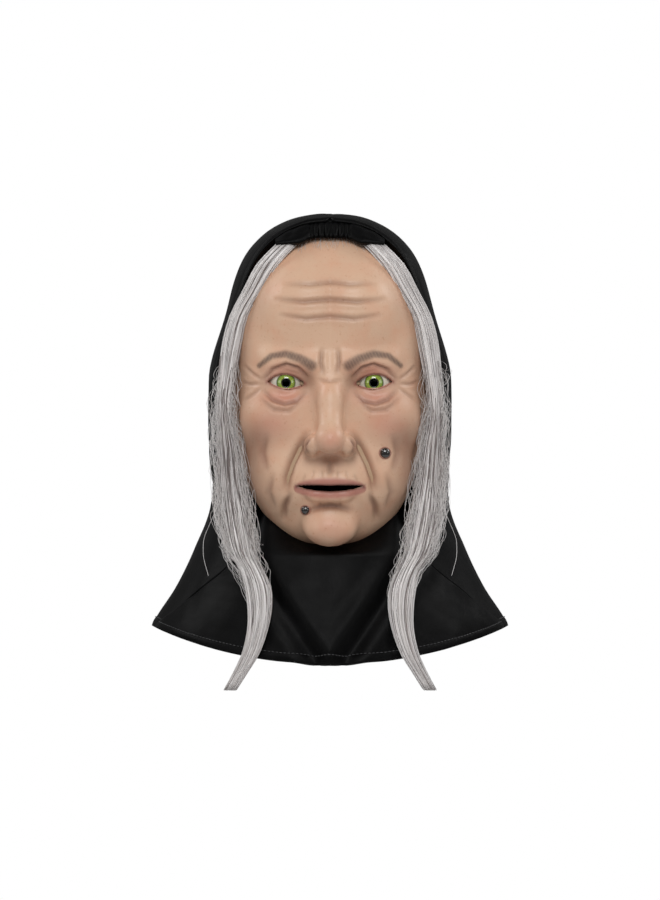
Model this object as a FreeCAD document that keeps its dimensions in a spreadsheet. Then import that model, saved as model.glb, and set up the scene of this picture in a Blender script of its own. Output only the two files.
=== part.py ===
"""Hooded latex face mask with hair, as a parametric FreeCAD document.

Millimetres. The origin is the middle of the wearer's head at eye level, +Z is up and the face
looks along -Y, so the wearer's left side is +X.
"""
import FreeCAD
import Part
import math
import os

from FreeCAD import Placement, Rotation, Vector

doc = FreeCAD.newDocument("HoodedMask")

# ---------------------------------------------------------------- driving dimensions
DIMENSIONS = {
    # hood cloth
    "cloth": 2.0,
    "ply_gap": 0.4,
    "hem_gap": 0.8,
    "hem_raise": 1.8,
    "hood_half_width": 100.0,
    "hood_half_depth": 116.0,
    "hood_height": 140.0,
    "hood_centre_back": -4.0,
    "edge_raise": 2.4,
    "edge_share": 0.05,
    "crown_squareness": 0.3,
    "temple_pinch": 0.07,
    "temple_top": 0.85,
    # face opening of the hood, an upright oval seen from the front
    "opening_half_width": 92.0,
    "opening_half_height": 140.5,
    "opening_centre": -10.0,
    # cape below the hood
    "hem_radius": 382.0,
    "hem_low": -230.0,
    "hem_share": 0.09,
    "bib_top": -141.0,
    "bib_top_half": 70.5,
    "bib_slope": 1.265,
    "bib_back": -8.0,
    "nape_half_width": 75.0,
    "nape_top": -98.0,
    "nape_clearance": 3.5,
    "vent_gap": 1.0,
    "piece_gap": 1.0,
    "seam_width": 6.0,
    "seam_raise": 1.4,
    # latex face
    "latex": 2.5,
    "nose_base": -60.0,
    "mouth_line": -86.0,
    "mouth_half_width": 26.0,
    "mouth_gap": 5.2,
    "eye_spacing": 36.0,
    "eye_half_width": 15.0,
    "eye_half_height": 9.5,
    "eye_radius": 17.0,
    "eye_wall": 2.0,
    "eye_centre_back": -69.3,
    "eye_back": -73.0,
    "pupil_radius": 3.4,
    "mole_flatness": 0.6,
    "nostril_radius": 3.2,
    "nostril_spacing": 8.0,
    "nostril_forward": -110.0,
    "nostril_length": 22.0,
    "neck_cut_forward": -52.0,
    "neck_cut_top": -114.0,
    # foam and strap
    "foam": 8.5,
    "foam_gap": 0.4,
    "forehead_pad_turn": 0.5,
    "forehead_pad_low": 58.0,
    "forehead_pad_high": 86.0,
    "cheek_pad_front": 0.85,
    "cheek_pad_rear": 1.35,
    "cheek_pad_low": -58.0,
    "cheek_pad_high": -18.0,
    "strap_half_width": 84.4,
    "strap_half_depth": 104.0,
    "strap_thickness": 1.2,
    "strap_height": 20.0,
    "strap_centre": 12.0,
    "strap_front": -22.0,
    "tab_length": 20.0,
    "tab_thickness": 1.8,
    "tab_gap": 0.3,
    "tab_rise": 1.5,
    "rivet_radius": 2.0,
    "rivet_pitch": 10.0,
    "rivet_back": -12.0,
    "rivet_fit": 0.1,
    "rivet_head_out": 88.9,
    "rivet_foot_out": 78.9,
    "rivet_head_thickness": 1.4,
    # brow facing, from the front edge of the hood down to the forehead
    "brow_thickness": 2.6,
    "brow_turn": 0.47,
    "brow_turn_gap": 0.008,
    "brow_bottom": 114.5,
    "brow_front": -68.0,
    "brow_edge_gap": 4.2,
    "gather_turn": 0.18,
    "gather_bottom": 120.0,
    "gather_front": -59.0,
    "gather_thickness": 5.0,
    # hair
    "hair_half_depth": 5.2,
    "weft_half_width": 3.2,
    "weft_half_depth": 1.0,
    "weft_set_back": 7.1,
}

# half width, half depth and middle (front to back) of the cape and hood at each height
HOOD_RINGS = (
    ("eye", 0.0, 100.0, 116.0, -4.0),
    ("ear", -20.0, 100.4, 111.0, -1.5),
    ("cheek", -52.0, 99.8, 100.0, 3.5),
    ("nape", -98.0, 97.6, 86.0, 10.0),
    ("neck", -137.0, 111.5, 92.0, 12.0),
    ("shoulder", -170.0, 127.0, 100.0, 12.0),
    ("corner", -201.0, 146.0, 106.5, 11.5),
    ("hem", -236.0, 158.0, 112.0, 10.0),
)

# height, half width and half depth of the latex face
FACE_RINGS = (
    ("crown", 122.0, 40.0, 52.0),
    ("hairline", 98.0, 64.0, 80.0),
    ("forehead", 58.0, 82.0, 96.0),
    ("brow", 15.0, 88.0, 100.0),
    ("cheek", -30.0, 86.0, 98.0),
    ("mouth", -78.0, 71.0, 96.0),
    ("chin", -112.0, 51.0, 94.0),
    ("jaw", -130.0, 34.0, 86.0),
    ("throat", -137.0, 22.0, 76.0),
)

# sideways, forward and height of the middle of each mass of the face, then its radii along X, Y and Z
BULGES = (
    ("nose_ball", 0.0, -98.0, -47.0, 15.5, 27.0, 17.0),
    ("nose_bridge", 0.0, -92.0, -24.0, 10.0, 23.0, 38.0),
    ("chin_ball", 0.0, -82.0, -118.0, 24.0, 18.0, 17.0),
    ("lip_ridge", 0.0, -88.0, -86.0, 30.0, 15.0, 12.0),
    ("left_cheek_ball", 44.0, -68.0, -38.0, 27.0, 25.0, 28.0),
    ("right_cheek_ball", -44.0, -68.0, -38.0, 27.0, 25.0, 28.0),
)

# sideways, forward and height of the middle of each mole, its radius, and the axis and degrees
# that turn its flat side onto the skin
MOLES = (
    ("cheek_mole", 45.0, -89.4, -57.55, 4.3, (1, 0, 0), 36.7),
    ("chin_mole", -20.1, -91.75, -104.15, 3.6, (0, 0, 1), -30.7),
)

# sideways, forward and height of the middle of each hair section, then its half width
LOCK_RINGS = (
    ("root", 36.0, -61.5, 112.5, 8.0),
    ("hairline", 52.0, -64.5, 97.0, 8.5),
    ("temple", 75.0, -62.0, 55.0, 7.5),
    ("eye", 83.0, -60.0, 12.0, 7.0),
    ("cheek", 86.0, -60.0, -24.0, 6.0),
    ("mouth", 82.0, -61.0, -80.0, 11.0),
    ("jaw", 76.0, -73.0, -119.0, 12.0),
    ("end", 73.0, -80.0, -139.0, 11.0),
)
TAIL_RINGS = (
    ("top", 69.5, -81.0, -146.0, 8.5),
    ("shoulder", 59.0, -88.5, -166.0, 11.0),
    ("chest", 58.0, -94.0, -187.0, 10.0),
    ("hem", 64.0, -100.0, -220.0, 7.0),
    ("tip", 82.0, -102.0, -251.5, 5.0),
)

SIDES = (("left", 1), ("right", -1))

sheet = doc.addObject("Spreadsheet::Sheet", "Dims")


def fill_sheet():
    """Put every driving dimension in the sheet, one alias each."""
    values = dict(DIMENSIONS)
    for place, height, half_width, half_depth, middle in HOOD_RINGS:
        values["hood_z_" + place] = height
        values["hood_x_" + place] = half_width
        values["hood_y_" + place] = half_depth
        values["hood_c_" + place] = middle
    for place, height, half_width, half_depth in FACE_RINGS:
        values["face_z_" + place] = height
        values["face_x_" + place] = half_width
        values["face_y_" + place] = half_depth
    for prefix, rings in (("lock", LOCK_RINGS), ("tail", TAIL_RINGS)):
        for place, sideways, forward, height, half_width in rings:
            values[f"{prefix}_x_{place}"] = sideways
            values[f"{prefix}_y_{place}"] = forward
            values[f"{prefix}_z_{place}"] = height
            values[f"{prefix}_w_{place}"] = half_width
    for name, x, y, z, radius_x, radius_y, radius_z in BULGES:
        values.update({name + "_x": x, name + "_y": y, name + "_z": z, name + "_rx": radius_x,
                       name + "_ry": radius_y, name + "_rz": radius_z})
    for name, x, y, z, radius, _, _ in MOLES:
        values.update({name + "_x": x, name + "_y": y, name + "_z": z, name + "_r": radius})
    for row, (alias, value) in enumerate(values.items(), start=1):
        sheet.set(f"A{row}", alias)
        sheet.set(f"B{row}", str(value))
        sheet.setAlias(f"B{row}", alias)
    doc.recompute()


def size(alias):
    """A driving dimension, read back from the sheet."""
    return float(sheet.get(alias))


# ---------------------------------------------------------------- small helpers
def bind(obj, **expressions):
    """Bind properties to sheet expressions; a double underscore stands for a dot."""
    for name, expression in expressions.items():
        obj.setExpression(name.replace("__", "."), str(expression))
    return obj


def place(obj, x, y, z):
    """Bind the position of an object to three expressions."""
    return bind(obj, Placement__Base__x=x, Placement__Base__y=y, Placement__Base__z=z)


def turned(obj, axis, degrees):
    """Turn an object about an axis through its own base point."""
    obj.Placement = Placement(Vector(0, 0, 0), Rotation(Vector(*axis), degrees))
    return obj


def box(name, low, high):
    """A box between two corners given as expressions."""
    block = doc.addObject("Part::Box", name)
    bind(block, Length=f"({high[0]}) - ({low[0]})", Width=f"({high[1]}) - ({low[1]})",
         Height=f"({high[2]}) - ({low[2]})")
    return place(block, *low)


def ellipsoid(name, centre, radii):
    """A whole ellipsoid with radii along X, Y and Z given as expressions."""
    ball = doc.addObject("Part::Ellipsoid", name)
    ball.Angle1 = -90
    ball.Angle2 = 90
    bind(ball, Radius1=radii[2], Radius2=radii[0], Radius3=radii[1])
    return place(ball, *centre)


def rod(name, axis, radius, length, start):
    """A cylinder along +X, +Y or +Z from a start point."""
    turn = {"x": ((0, 1, 0), 90), "y": ((1, 0, 0), -90), "z": ((0, 0, 1), 0)}[axis]
    cylinder = turned(doc.addObject("Part::Cylinder", name), *turn)
    bind(cylinder, Radius=radius, Height=length)
    return place(cylinder, *start)


def cut(name, base, tool):
    """The base without the tool."""
    result = doc.addObject("Part::Cut", name)
    result.Base = base
    result.Tool = tool
    return result


def fuse(name, pieces):
    """All the pieces as one."""
    result = doc.addObject("Part::MultiFuse", name)
    result.Shapes = pieces
    return result


def common(name, pieces):
    """What the pieces have in common."""
    result = doc.addObject("Part::MultiCommon", name)
    result.Shapes = pieces
    return result


def loft(name, sections):
    """A smooth closed solid through the sections."""
    result = doc.addObject("Part::Loft", name)
    result.Sections = sections
    result.Solid = True
    result.Ruled = False
    return result


def oval(name, along_x, half_width, half_depth, centre):
    """A flat ellipse whose long axis lies along X, or along Y where along_x is false."""
    ring = doc.addObject("Part::Ellipse", name)
    if along_x:
        bind(ring, MajorRadius=half_width, MinorRadius=half_depth)
    else:
        turned(ring, (0, 0, 1), 90)
        bind(ring, MajorRadius=half_depth, MinorRadius=half_width)
    return place(ring, *centre)


# ---------------------------------------------------------------- curved cloth
def level(rings, height):
    """The values of a table of rings at any height, by smooth interpolation between rows."""
    rows = [ring[1:] for ring in rings]
    upper = 0
    while upper < len(rows) - 2 and height < rows[upper + 1][0]:
        upper += 1

    def slope(index, column):
        before = rows[max(index - 1, 0)]
        after = rows[min(index + 1, len(rows) - 1)]
        return (after[column] - before[column]) / (after[0] - before[0])

    start, end = rows[upper], rows[upper + 1]
    span = end[0] - start[0]
    share = (height - start[0]) / span
    values = []
    for column in range(1, len(start)):
        rise = end[column] - start[column]
        first = slope(upper, column) * span
        last = slope(upper + 1, column) * span
        bend = share * (1 - share)
        values.append(start[column] + rise * share
                      + bend * ((first - rise) * (1 - share) - (last - rise) * share))
    return values


def skirt_point(angle, height, offset):
    """A point of the hood below the ears; the angle runs from the front over the left side."""
    half_width, half_depth, middle = level(HOOD_RINGS, height)
    return Vector((half_width + offset) * math.sin(angle),
                  middle - (half_depth + offset) * math.cos(angle), height)


def dome_point(direction, offset):
    """A point of the hood above the ears, from a direction on the unit sphere.

    The crown is a little squarer than an ellipsoid and the temples are drawn in.
    """
    power = 2 + size("crown_squareness") * direction[2]
    reach = sum(abs(part) ** power for part in direction) ** (-1 / power)
    rise = min(direction[2] / size("temple_top"), 1)
    pinch = 1 - size("temple_pinch") * math.sin(math.pi * rise) ** 2
    return Vector(direction[0] * reach * (size("hood_half_width") + offset) * pinch,
                  direction[1] * reach * (size("hood_half_depth") + offset) + size("hood_centre_back"),
                  direction[2] * reach * (size("hood_height") + offset))


def between(start, end, share):
    """A direction part of the way along the great circle between two directions."""
    start, end = Vector(*start), Vector(*end)
    turn = start.getAngle(end)
    mixed = start * math.sin((1 - share) * turn) + end * math.sin(share * turn)
    return mixed * (1 / math.sin(turn))


def opening_width(height):
    """Half the width of the face opening at a height."""
    rise = (height - size("opening_centre")) / size("opening_half_height")
    return size("opening_half_width") * math.sqrt(1 - rise * rise)


def front_angle(height):
    """Where the front edge of the hood or wing stands: the opening, then the side of the bib."""
    half_width, half_depth, middle = level(HOOD_RINGS, height)
    if height > size("nape_top"):
        reach = opening_width(height)
    else:
        reach = size("bib_top_half") + size("bib_slope") * max(size("bib_top") - height, 0)
    side = math.acos((middle - size("bib_back")) / half_depth)
    return min(math.asin(min(reach / half_width, 1)), side)


def vent_angle(height, clearance):
    """Where the cape is open at the back, beside the nape curtain."""
    half_width = level(HOOD_RINGS, height)[0]
    return math.pi - math.asin((size("nape_half_width") + clearance) / half_width)


def hem_height(sideways):
    """The height of the hem, an arc in the front view."""
    radius = size("hem_radius")
    return size("hem_low") + radius - math.sqrt(radius * radius - sideways * sideways)


def drop_to_hem(angle_at):
    """The height at which a line that runs down the cape meets the hem."""
    height = size("hem_low")
    for _ in range(12):
        height = hem_height(skirt_point(angle_at(height), height, 0).x)
    return height


def opening_direction(turn):
    """The direction from the middle of the head to the front edge, turn radians from its top."""
    side = size("opening_half_width") * math.sin(turn) / size("hood_half_width")
    rise = (size("opening_centre") + size("opening_half_height") * math.cos(turn)) / size("hood_height")
    return side, -math.sqrt(1 - side * side - rise * rise), rise


def panel_point(along, up, offset):
    """Left side panel: along runs from the front edge to the back seam, up from the nape to the crown."""
    if up <= 0:
        height = -up * size("nape_top")
        front = front_angle(height + 0.01)
        return skirt_point(front + (math.pi - front) * along, height, offset)
    top = size("opening_centre") + size("opening_half_height")
    start_angle = math.acos(-size("opening_centre") / size("opening_half_height"))
    front = opening_direction(start_angle * (1 - up))
    arch = (math.pi - math.asin(top / size("hood_height"))) * up
    return dome_point(between(front, (0, math.cos(arch), math.sin(arch)), along), offset)


def wing_point(along, down, offset):
    """Left shoulder wing: along runs from the bib round to the vent, down from the nape to the hem."""
    gap = size("piece_gap") / size("hood_half_width")

    def angle_at(height):
        front = front_angle(height) + gap
        return front + (vent_angle(height, size("vent_gap")) - front) * along

    top = size("nape_top") - size("piece_gap")
    height = top + (drop_to_hem(angle_at) - top) * down
    return skirt_point(angle_at(height), height, offset)


def bib_point(along, down, offset):
    """Bib: along runs from -1 to 1 across the chest, down from the throat to the hem."""
    top = size("bib_top")
    height = top + (drop_to_hem(lambda level_now: front_angle(level_now) * along) - top) * down
    return skirt_point(front_angle(height) * along, height, offset)


def nape_point(along, down, offset):
    """Nape curtain: along runs from -1 to 1 across the back, down from the nape to the hem."""
    top = size("nape_top") - size("nape_clearance")

    def angle_at(height):
        return math.pi + (vent_angle(height, 0) - math.pi) * along

    height = top + (drop_to_hem(angle_at) - top) * down
    return skirt_point(angle_at(height), height, offset)


def seam_point(across, along, offset):
    """Centre seam tape: across runs from -1 to 1 over its width, along from the nape to the brow."""
    side = size("seam_width") / 2 * across
    if along <= 0:
        height = -along * size("nape_top")
        half_width, half_depth, middle = level(HOOD_RINGS, height)
        back = (half_depth + offset) * math.sqrt(1 - (side / half_width) ** 2)
        return Vector(side, middle + back, height)
    edge = math.pi - math.asin((size("opening_centre") + size("opening_half_height")) / size("hood_height"))
    arch = edge * along
    lean = side / size("hood_half_width")
    round_off = math.sqrt(1 - lean * lean)
    return dome_point((lean, round_off * math.cos(arch), round_off * math.sin(arch)), offset)


def spread(low, high, steps):
    """Evenly spaced values from low to high."""
    return [low + (high - low) * step / steps for step in range(steps + 1)]


def ply(label, surface, first, second, inner, outer, mirrored=False):
    """A closed sheet of cloth or foam between two offsets of a curved surface."""
    faces = []
    for offset in (inner, outer):
        grid = [[surface(one, two, offset) for two in second] for one in first]
        if mirrored:
            grid = [[Vector(-point.x, point.y, point.z) for point in row] for row in grid]
        patch = Part.BSplineSurface()
        patch.interpolate(grid)
        faces.append(patch)
    low, high = faces
    walls = []
    first_low, first_high, second_low, second_high = low.bounds()
    for at_first, value in ((True, first_low), (True, first_high), (False, second_low), (False, second_high)):
        edges = [(patch.uIso(value) if at_first else patch.vIso(value)).toShape() for patch in faces]
        walls.append(Part.makeRuledSurface(*edges))
    skin = Part.Shell([low.toShape(), high.toShape()] + walls)
    skin.sewShape()
    solid = Part.Solid(skin)
    if solid.Volume < 0:
        solid.reverse()
    piece = doc.addObject("Part::Feature", label)
    piece.Shape = solid
    pieces.append(piece)
    return piece


# ---------------------------------------------------------------- hood and cape
def make_hood():
    """Side panels, rolled front edge, shoulder wings, bib, nape curtain, seam tape and hems."""
    cloth = (-size("cloth"), 0)
    hem = (size("hem_gap"), size("hem_raise"))
    tape = (size("ply_gap"), size("seam_raise"))
    roll = (size("ply_gap"), size("edge_raise"))
    around = spread(0, 0.998, 14)
    upward = spread(-1, 0, 7) + spread(0.08, 0.96, 11)
    across = spread(-1, 1, 16)
    down = spread(0, 1, 8)
    turned_up = spread(1 - size("hem_share"), 1, 2)
    for side, sign in SIDES:
        mirrored = sign < 0
        ply(f"hood_{side}_panel", panel_point, around, upward, *cloth, mirrored)
        ply(f"hood_{side}_edge", panel_point, spread(0, size("edge_share"), 2), upward, *roll, mirrored)
        ply(f"{side}_wing", wing_point, spread(0, 1, 10), down, *cloth, mirrored)
        ply(f"{side}_wing_hem", wing_point, spread(0, 1, 10), turned_up, *hem, mirrored)
    ply("hood_centre_seam", seam_point, spread(-1, 1, 2), spread(-1, 0, 7) + spread(0.08, 0.93, 11), *tape)
    ply("throat_bib", bib_point, across, down, *cloth)
    ply("bib_hem", bib_point, across, turned_up, *hem)
    ply("nape_panel", nape_point, across, down, *cloth)
    ply("nape_hem", nape_point, across, turned_up, *hem)


def facing_point(turn, up, front, bottom, offset):
    """A point between the hood's front edge, turn radians from its top, and the forehead."""
    top = dome_point(opening_direction(turn), 0) - Vector(0, 0, size("brow_edge_gap"))
    low = Vector(top.x, front, bottom)
    return low + (top - low) * up + Vector(0, -offset, offset) * math.sqrt(0.5)


def brow_point(across, up, offset):
    """Side flap of the brow facing: across runs outward from the gather, up from the forehead."""
    first = size("gather_turn") + size("brow_turn_gap")
    turn = first + (size("brow_turn") - first) * across
    return facing_point(turn, up, size("brow_front"), size("brow_bottom"), offset)


def gather_point(across, up, offset):
    """Gathered middle of the brow facing: across runs from -1 to 1, up from the forehead."""
    puff = offset * (0.4 + 2.4 * up * (1 - up))
    return facing_point(size("gather_turn") * across, up, size("gather_front"), size("gather_bottom"), puff)


def make_brow_facing():
    """The facing between the hood's front edge and the forehead: two flaps and a gathered middle."""
    half = size("brow_thickness") / 2
    for side, sign in SIDES:
        ply(f"{side}_brow_flap", brow_point, spread(0, 1, 6), spread(0, 1, 3), -half, half, sign < 0)
    ply("brow_gather", gather_point, spread(-1, 1, 6), spread(0, 1, 6), -half, size("gather_thickness"))


# ---------------------------------------------------------------- latex face
def face_layer(name, inset, raise_floor):
    """The face as a solid drawn in by inset, with its underside lifted by raise_floor."""
    sections = []
    last = FACE_RINGS[-1][0]
    first = FACE_RINGS[0][0]
    for ring in FACE_RINGS:
        spot = ring[0]
        height = f"Dims.face_z_{spot}"
        if spot == last:
            height += f" + {raise_floor}"
        if spot == first and inset != "0":
            height += " + 1"
        sections.append(oval(f"{name}_{spot}", False, f"Dims.face_x_{spot} - {inset}",
                             f"Dims.face_y_{spot} - {inset}", (0, 0, height)))
    return loft(name, sections)


def face_bulges(prefix, inset):
    """The rounded masses of nose, chin, lips and cheeks, each drawn in by inset."""
    found = []
    for bulge in BULGES:
        name = bulge[0]
        centre = [f"Dims.{name}_{axis}" for axis in "xyz"]
        radii = [f"Dims.{name}_r{axis} - {inset}" for axis in "xyz"]
        found.append(ellipsoid(f"{prefix}_{name}", centre, radii))
    return found


def eye_gap(name, sign):
    """An oval bar along Y that opens one eye in the latex."""
    ring = turned(doc.addObject("Part::Ellipse", name + "_ring"), (1, 0, 0), 90)
    bind(ring, MajorRadius="Dims.eye_half_width", MinorRadius="Dims.eye_half_height")
    place(ring, f"{sign} * Dims.eye_spacing", -120, 0)
    bar = doc.addObject("Part::Extrusion", name)
    bar.Base = ring
    bar.DirMode = "Custom"
    bar.Dir = Vector(0, 1, 0)
    bar.Solid = True
    bar.LengthFwd = 70
    return bar


def make_face():
    """The hollow latex face, with its eye, nostril and mouth openings and strap holes."""
    outside = fuse("face_outside", [face_layer("face_outer", "0", "0")] + face_bulges("outer", "0"))
    inside = fuse("face_inside", [face_layer("face_inner", "Dims.latex", "Dims.latex")]
                  + face_bulges("inner", "Dims.latex"))
    hollow = cut("face_hollow", outside, inside)
    gaps = [
        box("face_back", (-120, 0, -200), (120, 200, 200)),
        box("face_neck", (-120, "Dims.neck_cut_forward", -200), (120, 10, "Dims.neck_cut_top")),
        box("mouth_slot", ("-Dims.mouth_half_width", -160, "Dims.mouth_line - Dims.mouth_gap / 2"),
            ("Dims.mouth_half_width", -40, "Dims.mouth_line + Dims.mouth_gap / 2")),
        rivet_holes("face_rivet_holes"),
    ]
    for side, sign in SIDES:
        gaps.append(rod(f"{side}_nostril", "z", "Dims.nostril_radius", "Dims.nostril_length",
                        (f"{sign} * Dims.nostril_spacing", "Dims.nostril_forward", "Dims.nose_base - 12")))
        gaps.append(eye_gap(f"{side}_socket", sign))
    pieces.append(cut("face_shell", hollow, fuse("face_gaps", gaps)))


def make_eyes():
    """Glossy hollow eye domes behind the lids, each with a round pupil hole to see through."""
    for side, sign in SIDES:
        centre = (f"{sign} * Dims.eye_spacing", "Dims.eye_centre_back", 0)
        ball = ellipsoid(f"{side}_eye_ball", centre, ["Dims.eye_radius"] * 3)
        hollow = ellipsoid(f"{side}_eye_hollow", centre, ["Dims.eye_radius - Dims.eye_wall"] * 3)
        pupil = rod(f"{side}_pupil", "y", "Dims.pupil_radius", 80, (centre[0], -120, 0))
        back = box(f"{side}_eye_rear", (-120, "Dims.eye_back", -60), (120, 0, 60))
        pieces.append(cut(f"{side}_eye", ball, fuse(f"{side}_eye_gaps", [hollow, pupil, back])))


def make_moles():
    """Two flattened beads of hard resin stuck to the latex."""
    for name, _, _, _, _, axis, degrees in MOLES:
        radius = f"Dims.{name}_r"
        bead = ellipsoid(name, [f"Dims.{name}_{axis_name}" for axis_name in "xyz"],
                         (radius, f"{radius} * Dims.mole_flatness", radius))
        pieces.append(turned(bead, axis, degrees))


# ---------------------------------------------------------------- inside the mask
def foam_point(angle, height, offset):
    """A point inside the face; the angle runs from the front over the left side."""
    half_width, half_depth = level(FACE_RINGS, height)
    return Vector((half_width + offset) * math.sin(angle), -(half_depth + offset) * math.cos(angle), height)


def make_pads():
    """Foam pads on the inside of the forehead and cheeks."""
    near = -size("latex") - size("foam_gap")
    far = near - size("foam")
    turn = size("forehead_pad_turn")
    brow = spread(size("forehead_pad_low"), size("forehead_pad_high"), 4)
    ply("forehead_pad", foam_point, spread(-turn, turn, 8), brow, far, near)
    around = spread(size("cheek_pad_front"), size("cheek_pad_rear"), 5)
    cheek = spread(size("cheek_pad_low"), size("cheek_pad_high"), 4)
    for side, sign in SIDES:
        ply(f"{side}_cheek_pad", foam_point, around, cheek, far, near, sign < 0)


def oval_tube(name, inset, wall, height):
    """A level oval band concentric with the strap."""
    outer = oval(f"{name}_outer_ring", False, f"Dims.strap_half_width - ({inset})",
                 f"Dims.strap_half_depth - ({inset})", (0, 0, f"Dims.strap_centre - ({height}) / 2"))
    inner = oval(f"{name}_inner_ring", False, f"Dims.strap_half_width - ({inset}) - {wall}",
                 f"Dims.strap_half_depth - ({inset}) - {wall}", (0, 0, f"Dims.strap_centre - ({height}) / 2"))
    solids = []
    for label, ring in (("out", outer), ("in", inner)):
        solid = doc.addObject("Part::Extrusion", f"{name}_{label}")
        solid.Base = ring
        solid.DirMode = "Custom"
        solid.Dir = Vector(0, 0, 1)
        solid.Solid = True
        bind(solid, LengthFwd=height)
        solids.append(solid)
    return cut(f"{name}_tube", *solids)


RIVET_ROWS = (("upper", 0.5), ("lower", -0.5))


def rivet_bar(name, radius, length, middle, row):
    """A level bar along X, centred sideways on middle, at one of the two rows of rivets."""
    return rod(name, "x", radius, length, (f"{middle} - ({length}) / 2", "Dims.rivet_back",
                                           f"Dims.strap_centre + {row} * Dims.rivet_pitch"))


def rivet_holes(name):
    """Two level bars along X that pass through both strap ends, tabs and the latex."""
    return fuse(name, [rivet_bar(f"{name}_{label}", "Dims.rivet_radius + Dims.rivet_fit", "240", "0", row)
                       for label, row in RIVET_ROWS])


def make_strap():
    """The elastic strap behind the head, its two end tabs and the rivets that hold them."""
    strap_back = box("strap_back", (-120, "Dims.strap_front", -60), (120, 160, 60))
    strap = common("strap_band", [oval_tube("strap", "0", "Dims.strap_thickness", "Dims.strap_height"),
                                  strap_back])
    pieces.append(cut("elastic_strap", strap, rivet_holes("strap_holes")))

    tabs = oval_tube("tab", "Dims.strap_thickness + Dims.tab_gap", "Dims.tab_thickness",
                     "Dims.strap_height + 2 * Dims.tab_rise")
    drilled = cut("tab_drilled", tabs, rivet_holes("tab_holes"))
    for side, sign in SIDES:
        low, high = sorted((sign * 40, sign * 120))
        reach = box(f"{side}_tab_box", (low, "Dims.strap_front", -60),
                    (high, "Dims.strap_front + Dims.tab_length", 60))
        pieces.append(common(f"{side}_strap_tab", [drilled, reach]))

    thickness = "Dims.rivet_head_thickness"
    stem_length = "Dims.rivet_head_out - Dims.rivet_foot_out"
    stem_middle = "(Dims.rivet_head_out + Dims.rivet_foot_out) / 2"
    parts = []
    for side, sign in SIDES:
        for label, row in RIVET_ROWS:
            name = f"{side}_{label}"
            parts.append(rivet_bar(name + "_stem", "Dims.rivet_radius", stem_length,
                                   f"{sign} * {stem_middle}", row))
            for spot in ("head", "foot"):
                parts.append(rivet_bar(f"{name}_{spot}", "Dims.rivet_radius * 2", thickness,
                                       f"{sign} * Dims.rivet_{spot}_out", row))
    pieces.append(fuse("strap_rivets", parts))


# ---------------------------------------------------------------- hair
def hair_loft(name, prefix, rings, sign, half_width, half_depth, set_back):
    """A strand bundle through its level sections."""
    sections = []
    for ring in rings:
        spot = ring[0]
        width = half_width or f"Dims.{prefix}_w_{spot}"
        centre = (f"{sign} * Dims.{prefix}_x_{spot}", f"Dims.{prefix}_y_{spot} + {set_back}",
                  f"Dims.{prefix}_z_{spot}")
        sections.append(oval(f"{name}_{spot}", True, width, half_depth, centre))
    return loft(name, sections)


def make_hair():
    """On each side a long lock, the weft tape behind its root, and the free tail below the jaw."""
    for side, sign in SIDES:
        pieces.append(hair_loft(f"{side}_lock", "lock", LOCK_RINGS, sign, None, "Dims.hair_half_depth", 0))
        pieces.append(hair_loft(f"{side}_tail", "tail", TAIL_RINGS, sign, None,
                                "Dims.hair_half_depth - 0.7", 0))
        pieces.append(hair_loft(f"{side}_weft", "lock", LOCK_RINGS[:3], sign, "Dims.weft_half_width",
                                "Dims.weft_half_depth", "Dims.weft_set_back"))


# ---------------------------------------------------------------- build, check and export
pieces = []
fill_sheet()
make_face()
make_eyes()
make_moles()
make_pads()
make_strap()
make_hood()
make_brow_facing()
make_hair()
doc.recompute()

failed = [thing.Name for thing in doc.Objects if "Invalid" in thing.State or "Error" in thing.State]
if failed:
    raise RuntimeError("these objects failed: " + ", ".join(failed))

os.makedirs("parts", exist_ok=True)
for piece in pieces:
    shape = piece.Shape
    if shape.isNull() or not shape.isValid() or not shape.Solids:
        raise RuntimeError(piece.Label + " has no valid solid")
    shape.exportStep(os.path.join("parts", piece.Label + ".step"))
    extent = shape.BoundBox
    print(f"{piece.Label:20s} solids {len(shape.Solids)}  volume {shape.Volume:10.0f}  "
          f"x {extent.XMin:7.1f} {extent.XMax:7.1f}  y {extent.YMin:7.1f} {extent.YMax:7.1f}  "
          f"z {extent.ZMin:7.1f} {extent.ZMax:7.1f}")
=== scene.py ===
"""Looks of the hooded latex mask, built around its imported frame. Lengths are in millimetres
until a mesh is made, and the frame is the part's own: +Z up, the face looks along -Y."""

import math

import bpy
import numpy as np
import openvdb
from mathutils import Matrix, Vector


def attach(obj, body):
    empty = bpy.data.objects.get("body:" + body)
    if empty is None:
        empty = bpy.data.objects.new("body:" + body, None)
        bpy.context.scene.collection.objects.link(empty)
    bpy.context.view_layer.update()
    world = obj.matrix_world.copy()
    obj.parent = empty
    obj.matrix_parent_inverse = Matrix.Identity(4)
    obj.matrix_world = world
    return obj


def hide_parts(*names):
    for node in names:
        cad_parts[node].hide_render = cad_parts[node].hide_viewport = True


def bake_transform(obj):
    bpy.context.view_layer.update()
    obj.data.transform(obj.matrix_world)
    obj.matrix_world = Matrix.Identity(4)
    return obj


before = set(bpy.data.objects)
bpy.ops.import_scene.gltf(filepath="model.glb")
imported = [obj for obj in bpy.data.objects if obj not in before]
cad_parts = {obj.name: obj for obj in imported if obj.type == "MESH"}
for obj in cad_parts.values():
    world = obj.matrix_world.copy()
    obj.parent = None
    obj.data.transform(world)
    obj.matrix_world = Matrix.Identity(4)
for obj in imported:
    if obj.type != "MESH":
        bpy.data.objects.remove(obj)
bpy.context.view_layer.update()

MM = 0.001
SIDES = (("left", 1), ("right", -1))


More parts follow.
